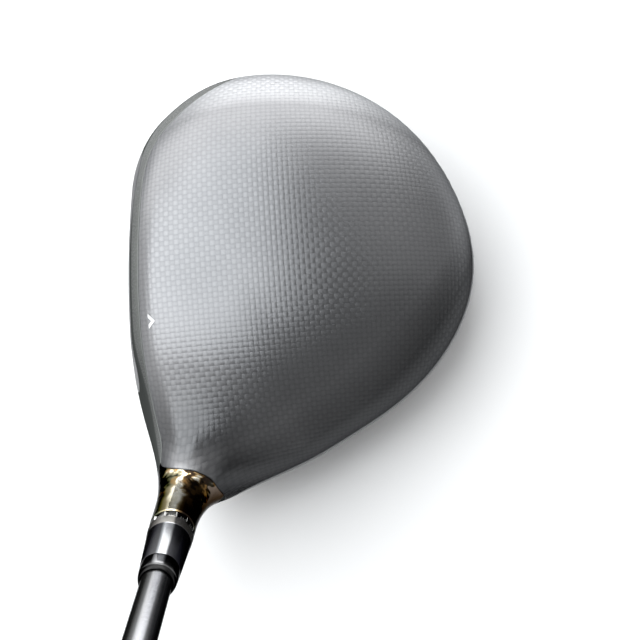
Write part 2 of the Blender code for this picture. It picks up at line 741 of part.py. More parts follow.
def grip_tape(made_of, parent):
    low = GRIP_LOW + 4.0
    high = SHAFT_END - 2.0
    profile = [(shaft_radius(low) + 0.6, low), (shaft_radius(high) + 0.6, high),
               (shaft_radius(high) + 0.25, high), (shaft_radius(low) + 0.25, low)]
    return turned("grip_tape", profile, made_of, parent)


def grip(made_of, parent):
    clear = 0.9
    outside = [(9.3, GRIP_LOW), (9.8, GRIP_LOW + 1.5), (10.1, GRIP_LOW + 12.0), (12.9, 1120.0),
               (13.3, 1150.0), (13.2, 1157.0), (12.4, 1160.6), (11.0, CLUB_LENGTH)]
    inside = [(1.5, CLUB_LENGTH), (1.5, SHAFT_END + 1.5), (BUTT_R + clear, SHAFT_END + 1.5),
              (shaft_radius(GRIP_LOW) + clear, GRIP_LOW)]
    return turned("grip", outside + inside, made_of, parent, steps=40)


# ---------------------------------------------------------------- assembly
def build():
    for thing in list(bpy.data.objects):
        bpy.data.objects.remove(thing)

    titanium = material("polished_titanium", (0.46, 0.44, 0.41), 0.12, 1.0)
    carbon = material("crown_carbon", (0.30, 0.31, 0.33), 0.35, 0.4)
    face_carbon = material("face_carbon", (0.03, 0.03, 0.035), 0.4, 0.0)
    sole_carbon = material("sole_carbon", (0.05, 0.05, 0.055), 0.3, 0.0)
    ring_metal = material("ring_aluminium", (0.33, 0.34, 0.35), 0.35, 1.0)
    port_metal = material("port_titanium", (0.36, 0.35, 0.34), 0.4, 1.0)
    weight_metal = material("weight_steel", (0.55, 0.55, 0.56), 0.3, 1.0)
    screw_metal = material("screw_steel", (0.16, 0.16, 0.17), 0.35, 1.0)
    slot_rubber = material("slot_rubber", (0.05, 0.05, 0.05), 0.7, 0.0)
    rib_carbon = material("rib_carbon", (0.07, 0.07, 0.07), 0.5, 0.0)
    retainer_plastic = material("retainer_nylon", (0.75, 0.73, 0.68), 0.5, 0.0)
    washer_steel = material("washer_steel", (0.6, 0.6, 0.6), 0.3, 1.0)
    sleeve_metal = material("sleeve_aluminium", (0.04, 0.04, 0.045), 0.2, 0.8)
    insert_brass = material("insert_brass", (0.72, 0.56, 0.28), 0.35, 1.0)
    ferrule_plastic = material("ferrule_plastic", (0.015, 0.015, 0.015), 0.25, 0.0)
    shaft_carbon = material("shaft_graphite", (0.30, 0.29, 0.31), 0.25, 0.6)
    plug_cork = material("plug_cork", (0.55, 0.38, 0.22), 0.8, 0.0)
    tape_paper = material("grip_tape_paper", (0.78, 0.75, 0.66), 0.8, 0.0)
    grip_rubber = material("grip_rubber", (0.035, 0.035, 0.035), 0.75, 0.0)

    hosel = axis_empty("hosel_axis", HOSEL_FOOT, HOSEL_AXIS)
    down = np.array([0.0, 0.0, -1.0])
    front_spot = cast(np.array([*FRONT_PORT_SPOT, 15.0]), down, 60.0)
    front_axis = normals_at(front_spot)
    rear_spot = onto_skin(np.array([58.0, 0.0, REAR_PORT_HEIGHT]), MIDDLE)
    rear_axis = normals_at(rear_spot)
    front = axis_empty("front_weight_axis", front_spot, front_axis)
    rear = axis_empty("rear_weight_axis", rear_spot, rear_axis)
    front_port_edge = port_loop(front_spot, front_axis, PORT_LOOP_R, 32)
    rear_port_edge = port_loop(rear_spot, rear_axis, PORT_LOOP_R, 32)

    front_collar(titanium, hosel, front_port_edge)
    rear_ring(ring_metal, rear_port_edge)
    skin_panel("crown_panel", carbon, [joined(front_crown_seam, rear_crown_seam)], (0.0, 0.2, -1.0),
               PANEL_SKIN)
    skin_panel("sole_panel", sole_carbon, [joined(front_sole_seam, rear_sole_seam[::-1])],
               (0.0, 0.1, 1.0), PANEL_SKIN)
    skin_panel("face_plate", face_carbon, [face_loop()], (1.0, 0.4, 0.0), FACE_SKIN)
    slot = stadium_loop(SLOT_MIDDLE, SLOT_HALF_LENGTH, SLOT_HALF_WIDTH)
    skin_panel("pocket_insert", slot_rubber, [slot], (0.0, 0.1, 1.0), POCKET_THICKNESS, depth=POCKET_SINK)
    sound_rib(rib_carbon)

    for end, axis in (("front", front), ("rear", rear)):
        weight_port(end + "_weight_port", port_metal, axis)
        weight_disc(end + "_weight", weight_metal, axis)
        weight_screw(end + "_weight_screw", screw_metal, axis)

    turned("screw_retainer", [(4.5, 14.0), (4.5, 15.4), (3.2, 15.4), (3.2, 14.0)], retainer_plastic, hosel)
    turned("screw_washer", [(4.4, 29.9), (4.4, 30.7), (2.75, 30.7), (2.75, 29.9)], washer_steel, hosel)
    hosel_screw(screw_metal, hosel)
    turned("sleeve_insert", [(3.8, 49.3), (3.8, 60.8), (2.75, 60.8), (2.75, 49.3)], insert_brass, hosel)
    loft_sleeve(sleeve_metal, hosel)
    ferrule_low = SLEEVE_TOP + GAP
    turned("ferrule", [(4.7, ferrule_low), (5.65, ferrule_low), (5.5, 109.9), (5.35, 111.3),
                       (5.1, 112.3), (4.85, FERRULE_TOP), (4.7, FERRULE_TOP)], ferrule_plastic, hosel)
    shaft(shaft_carbon, hosel)
    turned("tip_plug", [(0.0, 63.0), (3.0, 63.0), (3.0, 74.0), (0.0, 74.0)], plug_cork, hosel, steps=20)
    grip_tape(tape_paper, hosel)
    grip(grip_rubber, hosel)
    bpy.context.view_layer.update()


build()
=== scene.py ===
import json
import math

import bmesh
import bpy
import numpy as np
from mathutils import Matrix, Vector
from mathutils.geometry import delaunay_2d_cdt
from mathutils.kdtree import KDTree


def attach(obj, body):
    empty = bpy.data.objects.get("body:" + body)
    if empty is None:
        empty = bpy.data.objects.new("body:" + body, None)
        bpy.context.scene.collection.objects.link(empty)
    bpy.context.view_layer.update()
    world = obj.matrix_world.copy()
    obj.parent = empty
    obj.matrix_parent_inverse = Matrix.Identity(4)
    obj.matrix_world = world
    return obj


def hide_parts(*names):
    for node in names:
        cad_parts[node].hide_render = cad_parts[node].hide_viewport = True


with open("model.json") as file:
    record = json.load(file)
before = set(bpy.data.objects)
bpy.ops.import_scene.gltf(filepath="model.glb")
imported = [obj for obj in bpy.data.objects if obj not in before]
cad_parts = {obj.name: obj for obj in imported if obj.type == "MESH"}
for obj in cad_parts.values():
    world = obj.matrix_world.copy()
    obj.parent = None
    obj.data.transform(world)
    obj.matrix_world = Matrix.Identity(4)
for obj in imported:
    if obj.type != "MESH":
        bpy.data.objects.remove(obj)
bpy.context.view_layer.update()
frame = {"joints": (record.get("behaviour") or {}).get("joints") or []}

MM = 0.001

# ---------------------------------------------------------------- driving dimensions, as in the CAD
LOFT = math.radians(10.5)
CROWN_TOP = 62.0
RIM_HEIGHT = 34.0
RIM_SWEEP = 3.0
SOLE_DEPTH = 0.6
FACE_SETBACK = -38.0
FACE_MID_HEIGHT = 30.0
BULGE = 620.0
ROLL = 620.0
HEEL_START = -17.2
HEEL_RELIEF = 116.0
EDGE_BLEND = 7.0
NECK_BLEND = 28.0
NECK_LOW = 12.0
MIDDLE = np.array([0.0, 0.0, 28.0])
DOWN = np.array([0.0, 0.0, -1.0])

# Powers of the crown's and the sole's curves: sideways (less towards the rear) and up.
CROWN_POWER, CROWN_POWER_REARWARD = 2.3, 0.3
SOLE_POWER, SOLE_POWER_REARWARD = 3.0, 0.9
HEIGHT_POWER = 1.55

JOINTS = {joint["name"]: joint for joint in frame["joints"]}
HOSEL_FOOT = np.array([-17.5, -35.0, 0.0])
HOSEL_AXIS = np.array(JOINTS["shaft_pull"]["axis"])
HOSEL_R = 6.6
HOSEL_TOP = 83.5
CLUB_LENGTH = 1162.0

OUTLINE = [(71.0, 0.0), (67.2, 22.0), (54.5, 43.8), (31.0, 60.6), (7.0, 65.4), (-11.0, 61.9),
           (-24.6, 52.2), (-38.3, 36.4), (-51.6, 15.9), (-56.4, -7.0), (-50.0, -30.0),
           (-37.0, -49.0), (-22.0, -58.8), (-6.0, -62.7), (10.0, -61.2), (29.8, -51.7),
           (50.4, -37.8), (64.6, -20.5)]

# Where the neck rules the skin: how far round the hosel's axis, and from which height.
NECK_REACH = 17.0
NECK_START = 20.0
NECK_SKIN = 0.55

RIM_INSET = 0.97
CROWN_EDGE_LIFT = 1.6
SOLE_EDGE_HEIGHT = 14.0
SOLE_EDGE_DIP = 13.0
SOLE_EDGE_DIP_WIDTH = 0.42
SEAM_GAP = 0.12
LIP_WIDTH = 0.3
LIP_DROP = 0.16
BOND_GAP = 0.5
METAL_SKIN = 2.0
COLLAR_SKIN = 2.7
PANEL_SKIN = 0.8
LEDGE_DEPTH = PANEL_SKIN + BOND_GAP
LEDGE_WIDTH = 4.0
FACE_SKIN = 1.6
SEAM_STEP = 1.0
HEAD_SPAN = 62.0
SITE_SHARE = 0.87
HALVINGS = 28

SLOT_MIDDLE = (-33.0, 1.0)
SLOT_HALF_LENGTH = 25.0
SLOT_HALF_WIDTH = 1.7
PORT_LOOP_R = 8.0
BORE_R = 5.45
PORT_R = 4.7
TUBE_R = 6.05
BORE_COUNT = 96
BAND_LOW = 86.9
BAND_HIGH = 90.3
SLEEVE_TOP = 106.0
FERRULE_TOP = 112.8
SHAFT_END = CLUB_LENGTH - 6.0
GRIP_LOW = 892.0
PAINT_LINE = 56.5

# The cloth's tow width, its turn on the crown, and how much of the neck's rise it follows.
TOW = 1.56
CLOTH_TILT = -3.0
CLOTH_LIFT = 0.45
CROWN_CENTRE = np.array([5.0, 0.0, 12.0])
SOLE_CENTRE = np.array([5.0, 0.0, 46.0])


# ---------------------------------------------------------------- the head's outer surface
def closed_spline(angles, values):
    """Periodic cubic spline through (angle, value)."""
    order = np.argsort(angles)
    knots = np.asarray(angles)[order]
    held = np.asarray(values)[order]
    count = len(knots)
    spans = np.diff(np.append(knots, knots[0] + 2 * math.pi))
    system = np.zeros((count, count))
    rhs = np.zeros(count)
    for i in range(count):
        before = (i - 1) % count
        after = (i + 1) % count
        system[i, before] += spans[before]
        system[i, i] += 2 * (spans[before] + spans[i])
        system[i, after] += spans[i]
        rhs[i] = 6 * ((held[after] - held[i]) / spans[i] - (held[i] - held[before]) / spans[before])
    bend = np.linalg.solve(system, rhs)

    def value(angle):
        turned_angle = (np.asarray(angle) - knots[0]) % (2 * math.pi) + knots[0]
        i = np.clip(np.searchsorted(knots, turned_angle, side="right") - 1, 0, count - 1)
        j = (i + 1) % count
        low = turned_angle - knots[i]
        high = spans[i] - low
        cubic = (bend[i] * high**3 + bend[j] * low**3) / (6 * spans[i])
        linear = (held[i] / spans[i] - bend[i] * spans[i] / 6) * high
        return cubic + linear + (held[j] / spans[i] - bend[j] * spans[i] / 6) * low

    return value


outline_radius = closed_spline([math.atan2(y, x) for x, y in OUTLINE],
                               [math.hypot(x, y) for x, y in OUTLINE])


def rim_height(theta):
    return RIM_HEIGHT - RIM_SWEEP * np.cos(theta)


def smooth_max(a, b, width):
    near = np.maximum(width - np.abs(a - b), 0) / width
    return np.maximum(a, b) + near * near * width / 4


def above_rim(p):
    return p[..., 2] > rim_height(np.arctan2(p[..., 1], p[..., 0]))


def hull_level(p, above):
    """Crown and sole before the face is cut: 0 on the surface, negative inside."""
    theta = np.arctan2(p[..., 1], p[..., 0])
    rearward = np.cos(theta)
    rim = rim_height(theta)
    plan_power = np.where(above, CROWN_POWER - CROWN_POWER_REARWARD * rearward,
                          SOLE_POWER - SOLE_POWER_REARWARD * rearward)
    reach = np.where(above, CROWN_TOP - rim, rim + SOLE_DEPTH)
    plan = np.hypot(p[..., 0], p[..., 1]) / outline_radius(theta)
    return plan**plan_power + (np.abs(p[..., 2] - rim) / reach) ** HEIGHT_POWER - 1.0


def gradient(level, p, step=0.02):
    slope = np.empty(p.shape)
    for k in range(3):
        shift = np.zeros(3)
        shift[k] = step
        slope[..., k] = (level(p + shift) - level(p - shift)) / (2 * step)
    return slope


def hull_distance(p):
    """Each side of the rim keeps its own powers while the slope is taken across it."""
    above = above_rim(p)
    steepness = np.linalg.norm(gradient(lambda near: hull_level(near, above), p), axis=-1)
    return hull_level(p, above) / np.maximum(steepness, 0.004)


def face_x(y, z):
    """The striking face: loft, bulge and roll, with the heel end falling back to the neck."""
    up = z - FACE_MID_HEIGHT
    bulge = y**2 / BULGE + np.maximum(HEEL_START - y, 0) ** 2 / HEEL_RELIEF
    return FACE_SETBACK + bulge + up * math.tan(LOFT) + up**2 / ROLL


def face_distance(p):
    return (face_x(p[..., 1], p[..., 2]) - p[..., 0]) * math.cos(LOFT)


def on_axis(height):
    """The place at a height along the hosel's axis."""
    return HOSEL_FOOT + height * HOSEL_AXIS


NECK_HUB = on_axis(35.0)


def hosel_coordinates(p):
    """Distance along the hosel axis and away from it."""
    offset = p - HOSEL_FOOT
    along = offset @ HOSEL_AXIS
    return along, np.linalg.norm(offset - along[..., None] * HOSEL_AXIS, axis=-1)


def body_distance(p):
    return smooth_max(hull_distance(p), face_distance(p), EDGE_BLEND)


def head_distance(p):
    along, away = hosel_coordinates(p)
    neck = np.maximum(away - HOSEL_R, NECK_LOW - along)
    return np.maximum(-smooth_max(-body_distance(p), -neck, NECK_BLEND), -p[..., 2])


def unit(v):
    return v / np.linalg.norm(v, axis=-1, keepdims=True)


def normals_at(p):
    return unit(gradient(head_distance, p, 0.05))


def cast(start, direction, reach=180.0, level=head_distance):
    """Where a line from inside the head leaves it."""
    count = np.broadcast_shapes(np.shape(start), np.shape(direction))[:-1]
    near = np.zeros(count)
    far = np.full(count, reach)
    for _ in range(HALVINGS):
        middle = (near + far) / 2
        inside = level(start + middle[..., None] * direction) < 0
        near = np.where(inside, middle, near)
        far = np.where(inside, far, middle)
    return start + ((near + far) / 2)[..., None] * direction


def onto_skin(points, centre=NECK_HUB):
    """Push points near the skin onto it, along lines from a centre inside the head."""
    return cast(centre, unit(np.asarray(points, float) - centre))


# ---------------------------------------------------------------- seam curves
def smooth_path(knots, spacing, closed=False):
    """Evenly spaced points on a Catmull-Rom curve through the knots."""
    k = np.asarray(knots, float)
    k = np.vstack([k[-1], k, k[:2]] if closed else [2 * k[0] - k[1], k, 2 * k[-1] - k[-2]])
    t = np.linspace(0, 1, 24, endpoint=False)[:, None]
    pieces = []
    for a, b, c, d in zip(k, k[1:], k[2:], k[3:]):
        pieces.append(0.5 * (2 * b + (c - a) * t + (2 * a - 5 * b + 4 * c - d) * t**2
                             + (3 * b - a - 3 * c + d) * t**3))
    return spread(np.vstack(pieces + [k[-2:-1]]), spacing)


def spread(path, spacing):
    """The same path with evenly spaced points."""
    lengths = np.append(0, np.cumsum(np.linalg.norm(np.diff(path, axis=0), axis=1)))
    count = max(3, int(round(lengths[-1] / spacing)) + 1)
    even = np.linspace(0, lengths[-1], count)
    return np.stack([np.interp(even, lengths, path[:, k]) for k in range(3)], axis=1)


def seam(knots, centre=NECK_HUB):
    return onto_skin(smooth_path(onto_skin(knots, centre), SEAM_STEP), centre)


def rim_seam(start, end, height):
    """A seam round the back of the head between two azimuths, at a height above the ground."""
    theta = np.linspace(math.radians(start), math.radians(end), 60)
    plan = RIM_INSET * outline_radius(theta)
    return seam(np.stack([plan * np.cos(theta), plan * np.sin(theta), height(theta)], axis=1), MIDDLE)


def crown_edge_height(theta):
    return rim_height(theta) + CROWN_EDGE_LIFT


def sole_edge_height(theta):
    return SOLE_EDGE_HEIGHT - SOLE_EDGE_DIP * np.exp(-((theta / SOLE_EDGE_DIP_WIDTH) ** 2))


NECK_SEAM_KNOTS = [(-6.2, -68.3, 44.0), (-6.6, -67.0, 50.5), (-8.5, -64.0, 55.6), (-12.4, -61.9, 58.7),
                   (-17.3, -61.0, 59.4), (-21.8, -60.3, 56.4), (-24.2, -58.8, 52.2)]
TOPLINE_KNOTS = [(-24.3, -52.5, 50.8), (-26.0, -45.3, 49.3), (-27.6, -36.3, 50.6), (-28.9, -23.3, 55.2),
                 (-29.5, -10.0, 57.1), (-29.6, 5.0, 57.0), (-29.5, 18.3, 54.6), (-28.7, 32.5, 49.7),
                 (-24.5, 43.9, 46.2), (-9.0, 57.0, 41.5)]
HEEL_AZIMUTH = -96.0
TOE_AZIMUTH = 90.0

rear_crown_seam = rim_seam(TOE_AZIMUTH, HEEL_AZIMUTH, crown_edge_height)
rear_sole_seam = rim_seam(TOE_AZIMUTH - 6.0, HEEL_AZIMUTH + 8.0, sole_edge_height)
front_crown_seam = seam([rear_crown_seam[-1], *NECK_SEAM_KNOTS, *TOPLINE_KNOTS, rear_crown_seam[0]])
toe_seam = seam([rear_crown_seam[0], (1.5, 60.0, 25.0), rear_sole_seam[0]])
front_sole_seam = seam([rear_sole_seam[0], (-6.0, 40.0, 4.0), (-9.0, 22.0, 1.0), (-10.0, 0.0, 0.3),
                        (-8.0, -22.0, 2.0), (-3.0, -42.0, 7.0), rear_sole_seam[-1]])
heel_seam = seam([rear_sole_seam[-1], (-3.0, -60.0, 24.0), rear_crown_seam[-1]])


def joined(*paths):
    """One closed loop from paths that meet end to end."""
    return np.vstack([path[:-1] for path in paths])


def axis_frame(axis):
    """Two unit vectors across an axis."""
    side = unit(np.cross(axis, (1.0, 0.3, 0.2)))
    return side, np.cross(axis, side)


def spokes(angles, axis):
    """Unit vectors across an axis, one for each angle."""
    side, up = axis_frame(axis)
    return np.cos(angles)[:, None] * side + np.sin(angles)[:, None] * up


def even_angles(count):
    return 2 * math.pi * np.arange(count) / count


def circle(centre, axis, radius, count):
    return centre + radius * spokes(np.linspace(0, 2 * math.pi, count, endpoint=False), axis)


def weight_frame(end):
    """The place and the axis of a weight's screw."""
    joint = JOINTS[end + "_weight_turn"]
    return np.array(joint["pos_m"]) / MM, np.array(joint["axis"])


def weight_edge(end):
    """The edge of a weight's hole: the port's circle pushed out along its axis onto the skin."""
    place, axis = weight_frame(end)
    return cast(circle(place - 12.0 * axis, axis, PORT_LOOP_R, 64), axis, 40.0)


def stadium(half_length, half_width, turn_steps, straight_steps):
    """A slot's outline: long in its second coordinate."""
    turn = np.linspace(0, math.pi, turn_steps)
    straight = np.linspace(-half_length, half_length, straight_steps)[1:-1]
    points = [(half_width * math.cos(a), half_length + half_width * math.sin(a)) for a in turn]
    points += [(-half_width, y) for y in straight[::-1]]
    points += [(-half_width * math.cos(a), -half_length - half_width * math.sin(a)) for a in turn]
    points += [(half_width, y) for y in straight]
    return np.array(points)


def stadium_loop(middle, half_length, half_width):
    """A slot's edge on the sole, running heel to toe."""
    flat = stadium(half_length, half_width, 11, 48) + middle
    start = np.column_stack([flat, np.full(len(flat), 15.0)])
    return cast(start, DOWN, 60.0)


FACE_KNOTS = [(50.0, 34.0), (43.0, 44.5), (26.0, 49.5), (5.0, 50.8), (-15.0, 48.5), (-28.5, 42.5),
              (-35.5, 34.0), (-36.5, 24.5), (-30.5, 13.5), (-15.0, 7.0), (5.0, 5.6), (26.0, 7.0),
              (41.0, 13.0), (49.0, 23.5)]


def face_loop():
    corners = [(face_x(y, z), y, z) for y, z in FACE_KNOTS]
    return onto_skin(smooth_path(corners, SEAM_STEP, closed=True)[:-1])


# ---------------------------------------------------------------- fine panels of the skin
def chart(points, pole):
    """Flatten directions seen from the neck hub, with the pole sent to infinity."""
    side = unit(np.cross(pole, (0.13, 0.21, 0.97)))
    up = np.cross(pole, side)
    look = unit(points - NECK_HUB)
    return np.stack([look @ side, look @ up], axis=1) / (1.0 - look @ pole)[:, None]


def inside_polygon(spots, polygon):
    crossed = np.zeros(len(spots), bool)
    for a, b in zip(polygon, np.roll(polygon, -1, axis=0)):
        spans = (a[1] > spots[:, 1]) != (b[1] > spots[:, 1])
        slope = (b[0] - a[0]) / (b[1] - a[1] if b[1] != a[1] else 1e-12)
        crossed ^= spans & (spots[:, 0] < a[0] + (spots[:, 1] - a[1]) * slope)
    return crossed


def in_region(spots, polygons):
    kept = inside_polygon(spots, polygons[0])
    for hole in polygons[1:]:
        kept &= ~inside_polygon(spots, hole)
    return kept


def sphere_directions(count):
    i = np.arange(count) + 0.5
    z = 1 - 2 * i / count
    turn = math.pi * (1 + math.sqrt(5)) * i
    flat = np.sqrt(1 - z * z)
    return np.stack([flat * np.cos(turn), flat * np.sin(turn), z], axis=1)


def outward_side(loop, normals, polygon, pole, is_hole):
    """Unit vectors lying in the skin, across the loop and away from the panel."""
    tangent = unit(np.roll(loop, -1, axis=0) - np.roll(loop, 1, axis=0))
    side = unit(np.cross(tangent, normals))
    goes_in = np.mean(inside_polygon(chart(loop + 0.4 * side, pole), polygon)) > 0.5
    return -side if goes_in != is_hole else side


def body_sites(centre, pitch):
    """Skin points about a pitch apart, seen from a centre inside the head; the neck is left out."""
    count = int(4 * math.pi * HEAD_SPAN**2 / (SITE_SHARE * pitch**2))
    body = cast(centre, sphere_directions(count))
    along, away = hosel_coordinates(body)
    return body[(away > NECK_REACH) | (along < NECK_START)]


def neck_sites(pitch):
    """Rings of points round the neck, cast outward from the hosel's axis."""
    starts = []
    directions = []
    for row, height in enumerate(np.arange(NECK_START, HOSEL_TOP - 0.8, pitch)):
        angles = np.arange(0, 2 * math.pi, pitch / 8.0) + 0.5 * (row % 2) * pitch / 8.0
        directions.append(spokes(angles, HOSEL_AXIS))
        starts.append(np.broadcast_to(on_axis(height), directions[-1].shape))
    points = cast(np.vstack(starts), np.vstack(directions))
    return points[hosel_coordinates(points)[1] < NECK_REACH]


def clear_of(points, edge_points, room):
    """The points that keep their distance from the edges."""
    tree = KDTree(len(edge_points))
    for i, p in enumerate(edge_points):
        tree.insert(p, i)
    tree.balance()
    return points[np.array([tree.find(p)[2] > room for p in points])]


def skin_panel(name, loops, pole, thickness, centre=MIDDLE, pitch=1.6, ledges=None, depth=0.0,
               grooves=(), tube=None, neck=False):
    """A panel of the skin as a closed shell with softly rounded edges.

    loops[0] is its edge and the rest are holes. A ledge is a step round a loop that carries the
    neighbouring panel. A groove is (rim, floor, depth). A tube is (first loop, second loop, rows of
    its bore, rows of its outside) and joins two holes by a wall in place of their plain edges.
    """
    ledges = ledges or {}
    pole = unit(np.asarray(pole, float))
    sides = []
    edges = []
    lips = []
    for number, loop in enumerate(loops):
        side = outward_side(loop, normals_at(loop), chart(loop, pole), pole, number > 0)
        sides.append(side)
        edges.append(onto_skin(loop - SEAM_GAP / 2 * side))
        lips.append(onto_skin(loop - (SEAM_GAP / 2 + LIP_WIDTH) * side))
    polygons = [chart(edge, pole) for edge in edges]
    rings = edges + lips + [ring for groove in grooves for ring in groove[:2]]
    pool = body_sites(centre, pitch)
    if neck:
        pool = np.vstack([pool, neck_sites(0.8)])
    pool = pool[in_region(chart(pool, pole), polygons)]
    pool = clear_of(pool, np.vstack(rings), 0.75)
    top = np.vstack(rings + [pool])
    starts = np.cumsum([0] + [len(ring) for ring in rings])
    hoops = [list(range(starts[k], starts[k + 1])) for k in range(len(rings))]
    fences = [(a, b) for hoop in hoops for a, b in zip(hoop, hoop[1:] + hoop[:1])]
    flat = [Vector(map(float, spot)) for spot in chart(top, pole)]
    spots, _, faces, sources, _, _ = delaunay_2d_cdt(flat, fences, [], 0, 1e-9)
    corners = np.array([(f[0], f[1], f[2]) for f in faces])
    laid = np.array([(spot.x, spot.y) for spot in spots])
    kept = in_region(laid[corners].mean(axis=1), polygons)
    source = np.array([s[0] for s in sources])
    triangles = source[corners[kept]]

    up = normals_at(top)
    edge_end = starts[len(edges)]
    sink = np.full(len(top), depth)
    sink[:edge_end] += LIP_DROP
    soft = up.copy()
    soft[:edge_end] = unit(up[:edge_end] + np.vstack(sides))
    for number, groove in enumerate(grooves):
        floor_ring = 2 * len(edges) + 2 * number + 1
        sink[starts[floor_ring]:starts[floor_ring + 1]] += groove[2]
    outer = top - sink[:, None] * up
    a, b, c = (outer[triangles[:, k]] for k in range(3))
    wrong = np.sum(np.cross(b - a, c - a) * up[triangles[:, 0]], axis=1) < 0
    triangles[wrong] = triangles[wrong][:, ::-1]

    skin = shell_depth(top, thickness) if neck else np.full(len(top), thickness)
    points = [*outer, *(top - (depth + skin)[:, None] * up)]
    below = len(top)
    polys = [tuple(t) for t in triangles] + [tuple(below + i for i in t[::-1]) for t in triangles]
    tubed = tube[:2] if tube else ()
    for number, hoop in enumerate(hoops[:len(edges)]):
        if number in tubed:
            continue
        foot = [below + i for i in hoop]
        if number not in ledges:
            polys += bands(hoop, foot)
            continue
        ledge_depth, widths = ledges[number]
        widths = np.asarray(widths, float)
        rest = onto_skin(top[hoop] + widths[:, None] * sides[number])
        rest_up = normals_at(rest)
        step = list(range(len(points), len(points) + len(hoop)))
        points += [*(top[hoop] - ledge_depth * up[hoop]), *(rest - ledge_depth * rest_up),
                   *(rest - skin[hoop][:, None] * rest_up)]
        tip = [i + len(hoop) if width > 0 else i for i, width in zip(step, widths)]
        under = [i + 2 * len(hoop) if width > 0 else j for i, j, width in zip(step, foot, widths)]
        for lower, upper in ((hoop, step), (step, tip), (tip, under), (under, foot)):
            polys += [ring for ring in bands(lower, upper) if len(ring) > 2]
    if tube:
        for lift, rows in ((0, tube[2]), (below, tube[3])):
            previous = [lift + i for i in hoops[tube[0]]]
            for row in rows:
                current = list(range(len(points), len(points) + len(row)))
                points += [*row]
                polys += bands(previous, current)
                previous = current
            polys += bands(previous, [lift + i for i in hoops[tube[1]]])
    return solid(name, points, polys, skin_faces=len(triangles), skin_normals=soft)


def bands(lower, upper):
    """Faces between two hoops of corners; a corner that both hoops share is held once."""
    after = list(range(1, len(lower))) + [0]
    return [tuple(dict.fromkeys((lower[k], lower[n], upper[n], upper[k]))) for k, n in enumerate(after)]


def shell_depth(p, thickness):
    """The collar's skin, thinner round the neck so that it clears the bore."""
    along, away = hosel_coordinates(p)
    on_neck = np.clip((18.0 - away) / 6.0, 0, 1) * np.clip((along - 20.0) / 12.0, 0, 1)
    return thickness + (NECK_SKIN - thickness) * on_neck


def solid(name, points, polys, skin_faces=0, skin_normals=None, smooth_angle=50.0):
    """A mesh object in metres, facing outward, with the skin's own normals where they are given."""
    data = bpy.data.meshes.new(name)
    data.from_pydata((np.asarray(points) * MM).tolist(), [], polys)
    mesh = bmesh.new()
    mesh.from_mesh(data)
    bmesh.ops.recalc_face_normals(mesh, faces=mesh.faces)
    loose = [v for v in mesh.verts if not v.link_faces]
    kept = np.array([bool(v.link_faces) for v in mesh.verts])
    bmesh.ops.delete(mesh, geom=loose, context="VERTS")
    mesh.to_mesh(data)
    mesh.free()
    data.shade_smooth()
    data.set_sharp_from_angle(angle=math.radians(smooth_angle))
    if skin_normals is not None:
        vertex_normals = np.zeros((len(points), 3))
        vertex_normals[:len(skin_normals)] = skin_normals
        vertex_normals = vertex_normals[kept]
        corner_vertex = np.empty(len(data.loops), int)
        data.loops.foreach_get("vertex_index", corner_vertex)
        custom = np.zeros((len(data.loops), 3))
        skin_corners = 3 * skin_faces
        custom[:skin_corners] = vertex_normals[corner_vertex[:skin_corners]]
        data.normals_split_custom_set(custom.tolist())
    made = bpy.data.objects.new(name, data)
    bpy.context.collection.objects.link(made)
    return made


def put_uv(piece, coordinates):
    """Store flat coordinates, one pair for each vertex, as the piece's weave map."""
    layer = piece.data.uv_layers.new(name="weave")
    corner_vertex = np.empty(len(piece.data.loops), int)
    piece.data.loops.foreach_get("vertex_index", corner_vertex)
    layer.data.foreach_set("uv", coordinates[corner_vertex].astype(np.float32).ravel())


def vertex_places(piece):
    places = np.empty(3 * len(piece.data.vertices))
    piece.data.vertices.foreach_get("co", places)
    return places.reshape(-1, 3) / MM


def draped(points, centre, upward, tilt):
    """Cloth coordinates: the arc over the skin from the pole above (or below) a centre.

    Where the neck lifts the skin off the body, the cloth goes on level from the body's own place.
    """
    azimuths = np.linspace(-math.pi, math.pi, 121)
    falls = np.radians(np.linspace(0, 100, 81))
    a, f = np.meshgrid(azimuths, falls, indexing="ij")
    look = np.stack([np.sin(f) * np.cos(a), np.sin(f) * np.sin(a), upward * np.cos(f)], axis=-1)
    net = cast(centre, look.reshape(-1, 3), level=body_distance).reshape(look.shape)
    steps = np.linalg.norm(np.diff(net, axis=1), axis=2)
    arcs = np.concatenate([np.zeros((len(azimuths), 1)), np.cumsum(steps, axis=1)], axis=1)
    ray = unit(points - centre)
    azimuth = np.arctan2(ray[:, 1], ray[:, 0])
    fall = np.arccos(np.clip(upward * ray[:, 2], -1, 1))
    column = (azimuth + math.pi) / (2 * math.pi) * (len(azimuths) - 1)
    row = np.clip(fall / falls[-1], 0, 0.9999) * (len(falls) - 1)
    i = np.clip(column.astype(int), 0, len(azimuths) - 2)
    j = row.astype(int)
    x = column - i
    y = row - j
    arc = ((1 - x) * ((1 - y) * arcs[i, j] + y * arcs[i, j + 1])
           + x * ((1 - y) * arcs[i + 1, j] + y * arcs[i + 1, j + 1]))
    beyond = CLOTH_LIFT * (points - cast(centre, ray, level=body_distance))
    turned_azimuth = azimuth + math.radians(tilt)
    cos_tilt, sin_tilt = math.cos(math.radians(tilt)), math.sin(math.radians(tilt))
    return np.stack([arc * np.cos(turned_azimuth) + cos_tilt * beyond[:, 0] - sin_tilt * beyond[:, 1],
                     arc * np.sin(turned_azimuth) + sin_tilt * beyond[:, 0] + cos_tilt * beyond[:, 1]], axis=1)


# ---------------------------------------------------------------- round parts
def ring_radii(shape, count):
    """A radius, or a function of the angle, as one radius for each step round."""
    if callable(shape):
        return np.array([shape(angle) for angle in even_angles(count)])
    return np.full(count, float(shape))


